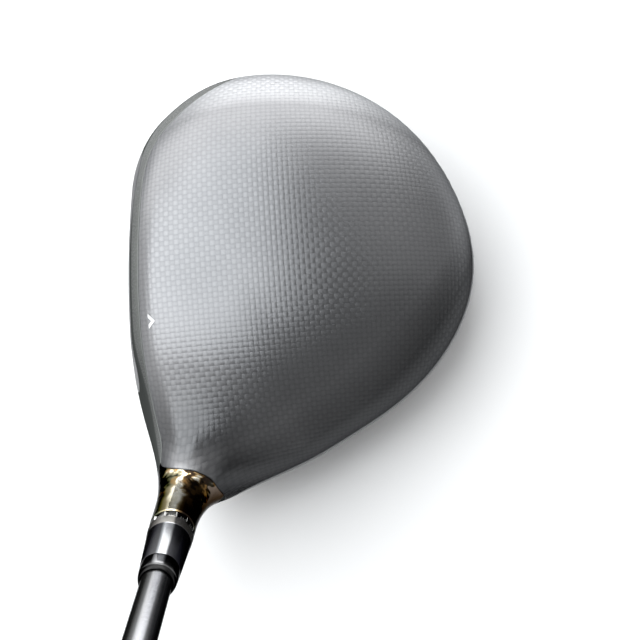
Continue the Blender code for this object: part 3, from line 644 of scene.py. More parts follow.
def eased(rows, size, closed):
    """Round the corners of a profile of (radii, height) rows."""
    result = []
    for k, (radii, height) in enumerate(rows):
        sides = [(other_radii - radii, other_height - height)
                 for other_radii, other_height in (rows[k - 1], rows[(k + 1) % len(rows)])]
        reaches = [math.hypot(np.mean(out), rise) for out, rise in sides]
        if (not closed and k in (0, len(rows) - 1)) or min(reaches) < 1e-6:
            result.append((radii, height))
            continue
        parts = [min(size / reach, 0.4) for reach in reaches]
        first, last = ((radii + part * out, height + part * rise) for part, (out, rise) in zip(parts, sides))
        middle = ((first[0] + 2 * radii + last[0]) / 4, (first[1] + 2 * height + last[1]) / 4)
        result += [first, middle, last]
    return result


def spun(name, profile, place, axis, count=96, ease=0.15):
    """A profile of (radius or radius function, height) spun about an axis through a place.

    A profile that starts and ends on the axis is capped there; any other one closes on itself.
    """
    capped = profile[0][0] == 0.0
    rows = [(ring_radii(shape, count), height) for shape, height in profile]
    rows = eased(rows, ease, not capped)
    around = spokes(even_angles(count), axis)
    points = []
    hoops = []
    for radii, height in rows:
        if np.max(radii) == 0.0:
            hoops.append([len(points)] * count)
            points.append(place + height * axis)
            continue
        hoops.append(list(range(len(points), len(points) + count)))
        points += [*(place + height * axis + radii[:, None] * around)]
    polys = []
    for lower, upper in zip(hoops, hoops[1:] if capped else hoops[1:] + hoops[:1]):
        polys += bands(lower, upper)
    return solid(name, points, polys, smooth_angle=48.0)


def off_tooth(angle, phase):
    """Degrees from the nearest of twelve equal marks round a circle."""
    turned_by = (math.degrees(angle) - phase) % 30.0
    return min(turned_by, 30.0 - turned_by)


def star(radius):
    """A six-lobed driver socket's outline."""
    return lambda angle: radius * (0.87 + 0.13 * math.cos(6 * angle))


# ---------------------------------------------------------------- material building blocks
class Field:
    """A number, place or colour in a shader tree, reckoned with like a plain value."""

    def __init__(self, tree, socket):
        self.tree = tree
        self.socket = socket

    def put(self, kind, inputs, output=0, **settings):
        """The output of a new node in the same tree, as a field."""
        return Field(self.tree, put(self.tree, kind, inputs, **settings).outputs[output])

    def reckon(self, operation, *others):
        return self.put("Math", dict(enumerate((self, *others))), operation=operation)

    def __add__(self, other):
        return self.reckon("ADD", other)

    def __sub__(self, other):
        return self.reckon("SUBTRACT", other)

    def __rsub__(self, other):
        return self.reckon("MULTIPLY_ADD", -1.0, other)

    def __mul__(self, other):
        return self.reckon("MULTIPLY", other)

    def along(self, direction, origin=(0.0, 0.0, 0.0)):
        """How far a place lies from an origin in a direction."""
        reach = self.put("VectorMath", {0: self, 1: tuple(direction)}, "Value", operation="DOT_PRODUCT")
        return reach - float(np.dot(origin, direction))

    def spread(self, low, high, new_low, new_high, **settings):
        """The span from low to high stretched to a new one, and held level outside it."""
        inputs = {"Value": self, "From Min": low, "From Max": high, "To Min": new_low, "To Max": new_high}
        return self.put("MapRange", inputs, **settings)

    def ramp(self, *stops):
        """A colour ramp through (position, red, green, blue) or (position, grey) stops."""
        node = put(self.tree, "ValToRGB", {"Fac": self})
        points = node.color_ramp.elements
        while len(points) < len(stops):
            points.new(0.5)
        for point, (place, *colour) in zip(points, stops):
            point.position = place
            point.color = (*(colour if len(colour) == 3 else 3 * colour), 1.0)
        return Field(self.tree, node.outputs["Color"])

    def blend(self, first, second):
        """From the first colour, where this is 0, to the second, where it is 1."""
        colours = [c if isinstance(c, Field) else (*c, 1.0) for c in (first, second)]
        return self.put("Mix", {0: self, 6: colours[0], 7: colours[1]}, 2, data_type="RGBA")


def put(tree, kind, inputs=None, **settings):
    """A shader node; an input that is a field is linked and any other value is set."""
    made = tree.nodes.new("ShaderNode" + kind)
    for key, value in settings.items():
        setattr(made, key, value)
    for key, value in (inputs or {}).items():
        if isinstance(value, Field):
            tree.links.new(value.socket, made.inputs[key])
        else:
            made.inputs[key].default_value = value
    return made


def noise(place, scale, detail=3.0, roughness=0.55, distortion=0.0):
    return place.put("TexNoise", {"Vector": place, "Scale": scale, "Detail": detail, "Roughness": roughness,
                                  "Distortion": distortion})


def bump(height, distance):
    return height.put("Bump", {"Height": height, "Distance": distance, "Strength": 1.0})


def facing(place):
    """The surface's direction in object space."""
    return place.put("TexCoord", {}, "Normal")


def new_material(name, colour, roughness, metallic=0.0, **sockets):
    """A material, its shader and its object-space place."""
    made = bpy.data.materials.new(name)
    made.use_nodes = True
    shader = made.node_tree.nodes["Principled BSDF"]
    for key, value in dict(sockets, Base_Color=(*colour, 1.0), Roughness=roughness, Metallic=metallic).items():
        shader.inputs[key.replace("_", " ")].default_value = value
    return made, shader, Field(made.node_tree, put(made.node_tree, "TexCoord").outputs["Object"])


def hosel_material(name, colour, roughness, tint):
    """A metallic material for a piece on the hosel's axis, with the height and the turns round that axis.

    The turns are 0.5 on its upper toe side, 0.25 to the face and 0.75 to the rear.
    """
    made, shader, place = new_material(name, colour, roughness, 1.0, Specular_Tint=tint)
    height, upper, rear = (place.along(side, HOSEL_FOOT * MM) for side in (HOSEL_AXIS, UPPER_SIDE, REAR_SIDE))
    return made, shader, place, height, rear.reckon("ARCTAN2", upper) * (0.5 / math.pi) + 0.5


def give(shader, **sockets):
    """Link fields to the shader's sockets."""
    for key, value in sockets.items():
        value.tree.links.new(value.socket, shader.inputs[key.replace("_", " ")])


def tones(colour, tint):
    """Ramp stops from a darker to a lighter tone of a colour."""
    return [(0.3, *(c * (1 - tint) for c in colour)), (0.7, *(min(1.0, c * (1 + tint)) for c in colour))]


# ---------------------------------------------------------------- materials
TOW_ROUNDNESS = 2.6
FIBRES_ACROSS = 17.0
FIBRES_ALONG = 1.3
NECK_SHADE_SPOT = np.array([-17.6, -49.0, 54.7])
CROWN_EDGE_TINT = (0.24, 0.24, 0.24, 1.0)
DARK_EDGE_TINT = (0.12, 0.12, 0.12, 1.0)
UPPER_SIDE = unit(np.cross(HOSEL_AXIS, np.cross((0.35, 0.80, 0.50), HOSEL_AXIS)))
REAR_SIDE = np.cross(UPPER_SIDE, HOSEL_AXIS)


def crown_painted_shading(place):
    """Painted shade and highlight on the crown's colour, by which way the skin faces: darker round the rear
    heel edge and by the neck, paler at the toe edge.
    """
    away = place.put("VectorMath", {0: place, 1: tuple(NECK_SHADE_SPOT * MM)}, "Value", operation="DISTANCE")
    normal = facing(place)
    # Painted shade towards the rear heel edge and near the neck, painted highlight towards the toe edge.
    rear_heel_shade = normal.along((0.81, -0.59, 0.0)).spread(0.52, 0.72, 1.0, 0.36)
    toe = normal.along((0.0, 1.0, 0.0)).spread(0.52, 0.74, 1.0, 2.75)
    return rear_heel_shade * toe * away.spread(5.0 * MM, 21.0 * MM, 0.5, 1.0)


def woven(name, dark, light, roughness, metallic, relief=0.05e-3, painted_shading=None, **sockets):
    """Plain-weave carbon: tows that pass over and under each other, each made of fine fibres; the weft tows
    are painted a little lighter than the warp tows, a painted highlight.
    """
    made, shader, place = new_material(name, light, roughness, metallic, **sockets)
    cloth = place.put("UVMap", {}, "UV", uv_map="weave")
    u = cloth.along((1.0, 0.0, 0.0))
    v = cloth.along((0.0, 1.0, 0.0))
    column = u.reckon("ROUND")
    row = v.reckon("ROUND")
    across_warp = u - column
    across_weft = v - row
    warp = ((v - column) * math.pi).reckon("COSINE") - across_warp * across_warp * TOW_ROUNDNESS
    weft = 0.0 - ((u - row) * math.pi).reckon("COSINE") - across_weft * across_weft * TOW_ROUNDNESS
    weft_on_top = (weft - warp).spread(-0.12, 0.12, 0.0, 1.0)
    height = warp.reckon("MAXIMUM", weft)
    fibre_u = u * weft_on_top.spread(0.0, 1.0, FIBRES_ACROSS, FIBRES_ALONG)
    fibre_v = v * weft_on_top.spread(0.0, 1.0, FIBRES_ALONG, FIBRES_ACROSS)
    fibre = noise(place.put("CombineXYZ", {0: fibre_u, 1: fibre_v, 2: weft_on_top}), 1.0, 2.0)
    # The colour follows the fibres and the tows' height, darker where a tow sinks at its edges and under its
    # neighbour; the weft tows are painted a little lighter, a painted highlight.
    level = fibre * 0.5 + noise(cloth, 0.06) * 0.35 + height * 0.16 + weft_on_top * 0.08
    colour = level.ramp((0.22, *dark), (0.78, *light))
    # The crown's colour is scaled by its painted shade and highlight.
    if painted_shading:
        colour = place.put("VectorMath", {0: colour, "Scale": painted_shading(place)}, operation="SCALE")
    give(shader, Base_Color=colour, Roughness=fibre.spread(0.3, 0.7, roughness - 0.04, roughness + 0.05),
         Anisotropic_Rotation=weft_on_top * 0.25, Normal=bump(fibre * 0.25 + height, relief),
         Tangent=place.put("Tangent", {}, direction_type="UV_MAP", uv_map="weave"))
    return made


def metal(name, colour, roughness, grain=0.02):
    """Machined metal: fine directional grain and uneven tone."""
    made, shader, place = new_material(name, colour, roughness, 1.0)
    streak = noise(place.put("Mapping", {"Vector": place, "Scale": (1.0, 1.0, 8.0)}), 900.0, 4.0, 0.6)
    uneven = noise(place, 90.0) * 0.6 + streak * 0.4
    give(shader, Base_Color=uneven.ramp(*tones(colour, 0.12)),
         Roughness=uneven.spread(0.3, 0.7, roughness * 0.8, roughness * 1.25),
         Normal=bump(streak * grain, 0.1 * MM))
    return made


def moulded(name, colour, roughness, grain=0.05, scale=1400.0, tint=0.25, **sockets):
    """Rubber, plastic, paper or cork: a pebbled surface with uneven tone."""
    made, shader, place = new_material(name, colour, roughness, **sockets)
    pebble = noise(place, scale, 4.0, 0.6)
    uneven = noise(place, 60.0) * 0.5 + pebble * 0.5
    give(shader, Base_Color=uneven.ramp(*tones(colour, tint)),
         Roughness=uneven.spread(0.3, 0.7, roughness * 0.88, roughness * 1.12),
         Normal=bump(pebble, grain * MM))
    return made


def collar_finish_and_painted_reflection():
    """Dark paint on the topline and face frame, painted lighter where it faces up (painted shade); polished
    metal above the paint line, its colour a painted reflection of streaks round the neck, with amber mottling,
    a painted shadow and a pale heel-side patch near the crown.
    """
    made, shader, place, height, turns = hosel_material("collar_finish_and_painted_reflection", (0.5, 0.45, 0.36), 0.09,
                                                        CROWN_EDGE_TINT)
    edge = noise(place, 300.0) * 0.0004 + height
    bare = edge.spread((PAINT_LINE - 0.1) * MM, (PAINT_LINE + 0.3) * MM, 0.0, 1.0)
    grain = noise(place, 2500.0)
    swirl = noise(place, 190.0, 2.0, 0.5, 0.8)
    near_crown = height.spread(66.0 * MM, 79.0 * MM, 1.0, 0.06)
    turns = turns + (swirl - 0.5) * near_crown * 0.55
    # Painted reflection on the polished neck: light and dark streaks set by the turns round the hosel's axis.
    bright = turns.ramp((0.05, 0.30, 0.25, 0.17), (0.22, 0.06, 0.06, 0.04), (0.34, 0.075, 0.080, 0.050),
                        (0.405, 0.23, 0.20, 0.13), (0.435, 0.72, 0.67, 0.52), (0.475, 0.86, 0.83, 0.72),
                        (0.495, 0.42, 0.33, 0.19), (0.512, 0.10, 0.06, 0.025), (0.535, 0.022, 0.015, 0.010),
                        (0.63, 0.020, 0.015, 0.012), (0.68, 0.035, 0.038, 0.025), (0.77, 0.05, 0.05, 0.045),
                        (0.95, 0.30, 0.25, 0.17))
    # Near the crown: painted amber reflections, a painted shadow and a pale painted reflection on the heel
    # side.
    amber_painted_reflection = noise(place, 330.0, 2.0).spread(0.52, 0.62, 0.0, 0.7) * near_crown
    painted_shadow = turns.spread(0.335, 0.365, 1.0, 0.0) * near_crown
    heel_painted_reflection = turns.spread(0.655, 0.672, 0.0, 1.0) * near_crown
    for patch, colour in ((amber_painted_reflection, (0.26, 0.15, 0.055)), (painted_shadow, (0.010, 0.010, 0.009)),
                          (heel_painted_reflection, (0.17, 0.135, 0.11))):
        bright = patch.blend(bright, colour)
    level = facing(place).along((0.0, 0.0, 1.0))
    # The paint is painted lighter the more it faces up: painted shade.
    paint = (noise(place, 120.0) * 0.1 + level).ramp((0.25, 0.031, 0.033, 0.032), (0.60, 0.043, 0.046, 0.044),
                                                     (0.80, 0.10, 0.105, 0.10), (0.98, 0.17, 0.18, 0.175))
    roughness = (grain.spread(0.3, 0.7, 0.12, 0.17) * bare
                 + grain.spread(0.3, 0.7, 0.24, 0.30) * (1.0 - bare))
    give(shader, Base_Color=bare.blend(paint, bright), Roughness=roughness, Metallic=bare,
         Specular_IOR_Level=level.spread(0.45, 0.85, 0.0, 0.5),
         Normal=bump(grain * 0.02 + swirl * bare * 1.5, 0.1 * MM))
    return made


def sleeve_finish_and_painted_highlight():
    """Black barrel, chrome flange and a satin band above the flange, each with a painted highlight along its
    upper side and painted shade round the far side; white index ticks.
    """
    made, shader, place, height, turns = hosel_material("sleeve_finish_and_painted_highlight", (0.05, 0.05, 0.055), 0.2,
                                                        DARK_EDGE_TINT)

    def marks(number, phase, width):
        """Marks evenly spaced round the sleeve; the phase and width are parts of their spacing."""
        from_mark = ((turns * number + phase).reckon("FRACT") - 0.5).reckon("ABSOLUTE")
        return from_mark.reckon("LESS_THAN", width)

    def within(low, high):
        return height.reckon("GREATER_THAN", low * MM) * height.reckon("LESS_THAN", high * MM)

    long_ticks = marks(12.0, 0.48, 0.055) * within(84.4, 86.5)
    short_ticks = marks(60.0, 0.4, 0.13) * within(86.0, 86.6)
    ticks = (short_ticks * 0.35 + long_ticks).reckon("MINIMUM", 1.0)
    band = within(86.85, 90.3)
    grain = noise(place, 1800.0, 4.0)
    wander = noise(place, 150.0) * 0.008 + (turns - 0.004)
    # Painted highlight along the upper side and painted shade round the far side, on the black barrel, the
    # satin band and the chrome flange.
    black = wander.ramp((0.30, 0.070, 0.070, 0.075), (0.420, 0.075, 0.075, 0.078), (0.436, 0.25, 0.26, 0.27),
                        (0.450, 0.62, 0.63, 0.65), (0.498, 0.56, 0.57, 0.58), (0.514, 0.055, 0.055, 0.060),
                        (0.60, 0.022, 0.022, 0.025), (0.72, 0.045, 0.045, 0.050))
    satin = wander.ramp((0.26, 0.05), (0.38, 0.22, 0.21, 0.20), (0.46, 0.42, 0.41, 0.38),
                        (0.490, 0.50, 0.48, 0.44), (0.507, 0.12, 0.115, 0.11), (0.62, 0.06, 0.058, 0.055),
                        (0.80, 0.18, 0.175, 0.17))
    chrome_with_painted_highlight = wander.ramp((0.28, 0.040), (0.37, 0.10, 0.10, 0.095), (0.44, 0.34, 0.335, 0.32),
                         (0.49, 0.44, 0.43, 0.40), (0.512, 0.045, 0.044, 0.042), (0.65, 0.030), (0.80, 0.060))
    colour = band.blend(within(82.0, 86.85).blend(black, chrome_with_painted_highlight), satin)
    give(shader, Base_Color=ticks.blend(colour, (0.8, 0.8, 0.78)), Metallic=1.0 - ticks,
         Roughness=band * 0.18 + grain.spread(0.3, 0.7, 0.17, 0.23), Normal=bump(grain, 0.004 * MM))
    return made


def ferrule_finish_and_painted_highlight():
    """Gloss black with a painted highlight along its upper side, a soft grey lip and a painted shadow ring at
    its upper end.
    """
    made, shader, place, height, turns = hosel_material("ferrule_gloss_and_painted_highlight", (0.03, 0.03, 0.032), 0.16,
                                                        DARK_EDGE_TINT)
    wander = noise(place, 200.0) * 0.006 + turns
    # Painted highlight along the upper side of the gloss black.
    gloss = wander.ramp((0.30, 0.045), (0.41, 0.05), (0.450, 0.50, 0.50, 0.51), (0.500, 0.44, 0.44, 0.45),
                        (0.520, 0.035, 0.035, 0.036), (0.75, 0.03))
    lip = height.spread(110.5 * MM, 110.7 * MM, 0.0, 1.0) * height.spread(111.1 * MM, 111.3 * MM, 0.8, 0.0)
    # A painted shadow ring, darker, at the upper end next to the shaft.
    end = height.spread(111.1 * MM, 111.4 * MM, 0.0, 1.0)
    give(shader, Base_Color=lip.blend(end.blend(gloss, (0.022, 0.022, 0.022)), (0.14, 0.14, 0.14)),
         Roughness=noise(place, 1400.0).spread(0.3, 0.7, 0.14, 0.2),
         Normal=bump(noise(place, 500.0), 0.005 * MM))
    return made


def shaft_finish_and_painted_highlight():
    """Silver lacquer over carbon with a painted highlight along its upper side and painted shade round the far
    side, and a darker zone towards the grip.
    """
    made, shader, place, height, turns = hosel_material("shaft_finish_and_painted_highlight", (0.3, 0.29, 0.31), 0.28,
                                                        DARK_EDGE_TINT)
    rings = noise(place.put("CombineXYZ", {0: height}), 3000.0)
    flake = noise(place, 6000.0, 2.0)
    tone = flake * 0.5 + rings * 0.5
    wander = (flake - 0.5) * 0.03 + turns
    # Painted highlight along the upper side and painted shade round the far side.
    silver_with_painted_highlight = wander.ramp((0.25, 0.055, 0.055, 0.053), (0.37, 0.09, 0.09, 0.088), (0.42, 0.17),
                         (0.450, 0.56, 0.56, 0.57), (0.480, 0.86, 0.86, 0.89), (0.515, 0.90, 0.91, 0.95),
                         (0.540, 0.24, 0.24, 0.25), (0.575, 0.06, 0.06, 0.062), (0.66, 0.04, 0.04, 0.042),
                         (0.72, 0.025, 0.025, 0.026), (0.85, 0.20, 0.195, 0.21), (0.98, 0.20, 0.195, 0.21))
    dark = tone.ramp((0.3, 0.020, 0.021, 0.026), (0.7, 0.045, 0.046, 0.054))
    toward_grip = height.spread(0.640, 0.760, 0.0, 1.0)
    give(shader, Base_Color=toward_grip.blend(silver_with_painted_highlight, dark), Roughness=tone.spread(0.3, 0.7, 0.22, 0.30),
         Normal=bump(rings, 0.006 * MM))
    return made


def floor_finish():
    made, shader, place = new_material("studio_floor", (0.82, 0.82, 0.82), 0.3, Specular_IOR_Level=0.8)
    give(shader, Base_Color=noise(place, 1.5).ramp((0.3, 0.80), (0.7, 0.84)))
    return made


def wear(piece, made_of):
    piece.data.materials.clear()
    piece.data.materials.append(made_of)


# ---------------------------------------------------------------- head panels
def take_place(piece, body, slot, made_of, *nodes):
    wear(piece, made_of)
    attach(piece, body)
    if nodes:
        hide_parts(*nodes)


def stepped_edge(*runs):
    """A closed edge and its ledge widths: each run is (seam, has a ledge), bare at its two ends."""
    widths = []
    for path, has_ledge in runs:
        run = np.zeros(len(path) - 1)
        if has_ledge:
            run[5:-4] = LEDGE_WIDTH
        widths.extend(run)
    return joined(*(path for path, _ in runs)), widths


def bore_rows():
    """Rings down the hosel's bore: a rounded mouth, splines, the web's hole and the screw port."""
    def splined(angle):
        return BORE_R - 0.5 if off_tooth(angle, 15.0) < 2.8 else BORE_R
    profile = [(6.35, HOSEL_TOP), (5.8, HOSEL_TOP), (5.52, HOSEL_TOP - 0.15), (BORE_R, HOSEL_TOP - 0.5),
               (BORE_R, 55.7), (splined, 55.6),
               (splined, 48.5), (BORE_R, 48.4), (BORE_R, 34.3), (5.2, 34.0), (2.95, 34.0), (2.8, 33.85),
               (2.8, 31.15), (2.95, 31.0), (4.5, 31.0), (PORT_R, 30.8), (PORT_R, 24.0)]
    return [round_row(shape, height) for shape, height in profile]


def round_row(shape, height):
    around = spokes(even_angles(BORE_COUNT), HOSEL_AXIS)
    return on_axis(height) + ring_radii(shape, BORE_COUNT)[:, None] * around


def front_collar():
    """Cast front body: topline, face frame, neck with its bore, front of the sole."""
    edge, widths = stepped_edge((front_crown_seam, True), (toe_seam, False), (front_sole_seam, True),
                                (heel_seam, False))
    mouth = onto_skin(circle(on_axis(HOSEL_TOP - 0.15), HOSEL_AXIS, HOSEL_R, BORE_COUNT))
    low = circle(on_axis(24.0), HOSEL_AXIS, PORT_R, BORE_COUNT)
    port = cast(low, -HOSEL_AXIS, 60.0)
    opening = face_loop()
    ledges = {0: (LEDGE_DEPTH, widths), 2: (FACE_SKIN + BOND_GAP, [3.0] * len(opening))}
    outside = [round_row(TUBE_R, height) for height in (80.0, 60.0, 40.0, 24.0)]
    loops = [edge, mouth, opening, slot_loop(), weight_edge("front"), port]
    return skin_panel("front_collar_body", loops, (0.6, 0.78, 0.1), COLLAR_SKIN, pitch=1.7, ledges=ledges,
                      tube=(1, 5, bore_rows(), outside), neck=True)


def rear_ring():
    """Forged band round the back, stepped to carry the crown and the sole panel."""
    edge, widths = stepped_edge((rear_crown_seam, True), (heel_seam[::-1], False),
                                (rear_sole_seam[::-1], True), (toe_seam[::-1], False))
    return skin_panel("rear_ring_body", [edge, weight_edge("rear")], (-1.0, -0.25, 0.0), METAL_SKIN,
                      ledges={0: (LEDGE_DEPTH, widths)})


def slot_loop():
    return stadium_loop(SLOT_MIDDLE, SLOT_HALF_LENGTH, SLOT_HALF_WIDTH)


def face_plate():
    """Woven face with sunk score lines at the heel and toe sides of its centre."""
    grooves = []
    for height in np.arange(14.0, 44.0, 4.2):
        for middle, half_length in ((-20.5, 5.5), (24.5, 7.0)):
            inset = 1.0 - ((height - FACE_MID_HEIGHT) / 34.0) ** 2
            rims = []
            for half_width in (0.42, 0.2):
                flat = stadium(half_length * inset, half_width, 7, 14)
                y = flat[:, 1] + middle
                z = flat[:, 0] + height
                rims.append(onto_skin(np.column_stack([face_x(y, z), y, z])))
            grooves.append((rims[0], rims[1], 0.3))
    piece = skin_panel("face_plate_skin", [face_loop()], (1.0, 0.4, 0.0), FACE_SKIN, pitch=1.5,
                       grooves=grooves)
    places = vertex_places(piece)
    put_uv(piece, places[:, 1:] / TOW)
    return piece


def crown_panel():
    piece = skin_panel("crown_shell", [joined(front_crown_seam, rear_crown_seam)], (0.0, 0.2, -1.0),
                       PANEL_SKIN, centre=CROWN_CENTRE, pitch=1.5)
    put_uv(piece, draped(vertex_places(piece), CROWN_CENTRE, 1.0, CLOTH_TILT) / TOW)
    return piece


def sole_panel():
    piece = skin_panel("sole_shell", [joined(front_sole_seam, rear_sole_seam[::-1])], (0.0, 0.1, 1.0),
                       PANEL_SKIN, centre=SOLE_CENTRE, pitch=1.6)
    put_uv(piece, draped(vertex_places(piece), SOLE_CENTRE, -1.0, 45.0) / TOW)
    return piece


def pocket_insert():
    """Rubber filler of the sole slot, with fine ribs across it."""
    ribs = []
    for y in np.arange(-23.0, 24.0, 2.0):
        loops = []
        for half_length, half_width in ((0.95, 0.28), (0.8, 0.13)):
            flat = stadium(half_length, half_width, 5, 4)
            start = np.column_stack([flat[:, 1] + SLOT_MIDDLE[0], flat[:, 0] + SLOT_MIDDLE[1] + y,
                                     np.full(len(flat), 15.0)])
            loops.append(cast(start, DOWN, 60.0))
        ribs.append((loops[0], loops[1], 0.25))
    return skin_panel("pocket_filler", [slot_loop()], (0.0, 0.1, 1.0), 2.0, depth=0.4, grooves=ribs)


def sound_rib_skin():
    """A thin curved fin standing on the sole panel's inside, heel to toe, with a rounded top edge."""
    lines = np.linspace(-36.0, 40.0, 60)
    start = np.array([(14.0, y, 20.0) for y in lines])
    low = cast(start, DOWN, 60.0)
    low = low - (PANEL_SKIN + 0.3) * normals_at(low) + np.array([0.0, 0.0, 0.05])
    outline = [(-0.6, 0.0), (0.6, 0.0), (0.6, 4.7), (0.42, 4.92), (0.0, 5.0), (-0.42, 4.92), (-0.6, 4.7)]
    points = [(p[0] + x, p[1], p[2] + z) for p in low for x, z in outline]
    count = len(outline)
    polys = []
    for k in range(len(lines) - 1):
        polys += bands(list(range(k * count, (k + 1) * count)), list(range((k + 1) * count, (k + 2) * count)))
    polys += [tuple(range(count)), tuple(range((len(lines) - 1) * count, len(lines) * count))]
    return solid("sound_rib_fin", points, polys)


def crown_mark():
    """A small plain chevron where the crown carries its alignment mark."""
    centre = np.array([-25.1, -16.7, 58.8])
    across = np.array([0.0, 1.0, 0.0])
    back = unit(np.array([0.94, 0.0, 0.32]))
    half = [(0.9, 0.0), (-1.3, 2.3), (-1.3, 1.1), (-0.25, 0.0)]
    outline = []
    for (x0, y0), (x1, y1) in zip(half, half[1:]):
        outline += [(x0 + t * (x1 - x0), y0 + t * (y1 - y0)) for t in np.linspace(0, 1, 7)[:-1]]
    outline.append(half[-1])
    flat = outline + [(x, -y) for x, y in outline[1:-1][::-1]]
    base = onto_skin(np.array([centre + x * back + y * across for x, y in flat]), CROWN_CENTRE)
    up = normals_at(base)
    count = len(flat)
    polys = [tuple(range(count)), tuple(range(count, 2 * count))[::-1]]
    polys += bands(list(range(count)), list(range(count, 2 * count)))
    return solid("alignment_chevron", [*(base + 0.05 * up), *(base - 0.1 * up)], polys)


# ---------------------------------------------------------------- round parts and their profiles
def shaft_radius(height):
    taper = (height - FERRULE_TOP) / (SHAFT_END - FERRULE_TOP)
    return 4.37 + max(0.0, taper) * 3.13


GRIP_PROFILE = [(892.0, 9.3), (893.5, 9.8), (904.0, 10.1), (1120.0, 12.9), (1150.0, 13.3), (1157.0, 13.2),
                (1160.6, 12.4), (1162.0, 11.0)]


def notched(angle):
    """The flange's radius: twelve small notches."""
    return 6.1 if off_tooth(angle, 15.0) < 2.6 else 6.6


def splined_tip(angle):
    return 5.1 if off_tooth(angle, 0.0) < 5.1 else 4.75


def knurled(angle):
    return 6.5 - 0.12 * (0.5 + 0.5 * math.cos(24 * angle))


def grip_surface(count=112, rows=300):
    """A tapered rubber grip with sunk diamonds in staggered rows and a ribbed cap."""
    heights = np.concatenate([np.linspace(892.0, 893.5, 4)[:-1], np.linspace(893.5, 1150.0, rows)[:-1],
                              np.linspace(1150.0, 1162.0, 14)])
    radius = np.interp(heights, [h for h, _ in GRIP_PROFILE], [r for _, r in GRIP_PROFILE])
    angles = even_angles(count)
    h, a = np.meshgrid(heights, angles, indexing="ij")
    cells = a / (2 * math.pi) * 14
    lines = (h - GRIP_LOW) / 5.2
    stagger = np.floor(lines) % 2 * 0.5
    u = np.abs((cells + stagger) % 1 - 0.5) * 2
    v = np.abs(lines % 1 - 0.5) * 2
    sunk = np.clip((0.72 - (u + v)) * 4.0, 0, 1) * 0.45
    zone = np.clip((h - 905.0) / 3.0, 0, 1) * np.clip((1140.0 - h) / 3.0, 0, 1)
    plain_band = np.clip((np.abs(h - 1030.0) - 7.0) / 1.0, 0, 1)
    rings = 0.22 * (0.5 + 0.5 * np.cos((h - 1030.0) * 2 * math.pi / 3.5)) * (1 - plain_band)
    r = radius[:, None] - sunk * zone * plain_band - rings
    around = spokes(angles, HOSEL_AXIS)
    points = [on_axis(h[:, :, None]) + r[:, :, None] * around[None]]
    cap = [(10.4, 1161.9), (9.9, 1161.5), (9.4, 1161.5), (8.9, 1161.9), (2.2, 1161.9), (1.5, 1161.4),
           (1.5, SHAFT_END + 1.5), (8.4, SHAFT_END + 1.5), (shaft_radius(GRIP_LOW) + 0.9, GRIP_LOW)]
    for ring_radius, height in cap:
        points.append((on_axis(height) + ring_radius * around)[None])
    points = np.concatenate(points).reshape(-1, 3)
    total = len(heights) + len(cap)
    polys = []
    for k in range(total):
        after = (k + 1) % total
        polys += bands(list(range(k * count, (k + 1) * count)),
                       list(range(after * count, (after + 1) * count)))
    return solid("grip_sleeve", points, polys, smooth_angle=40.0)


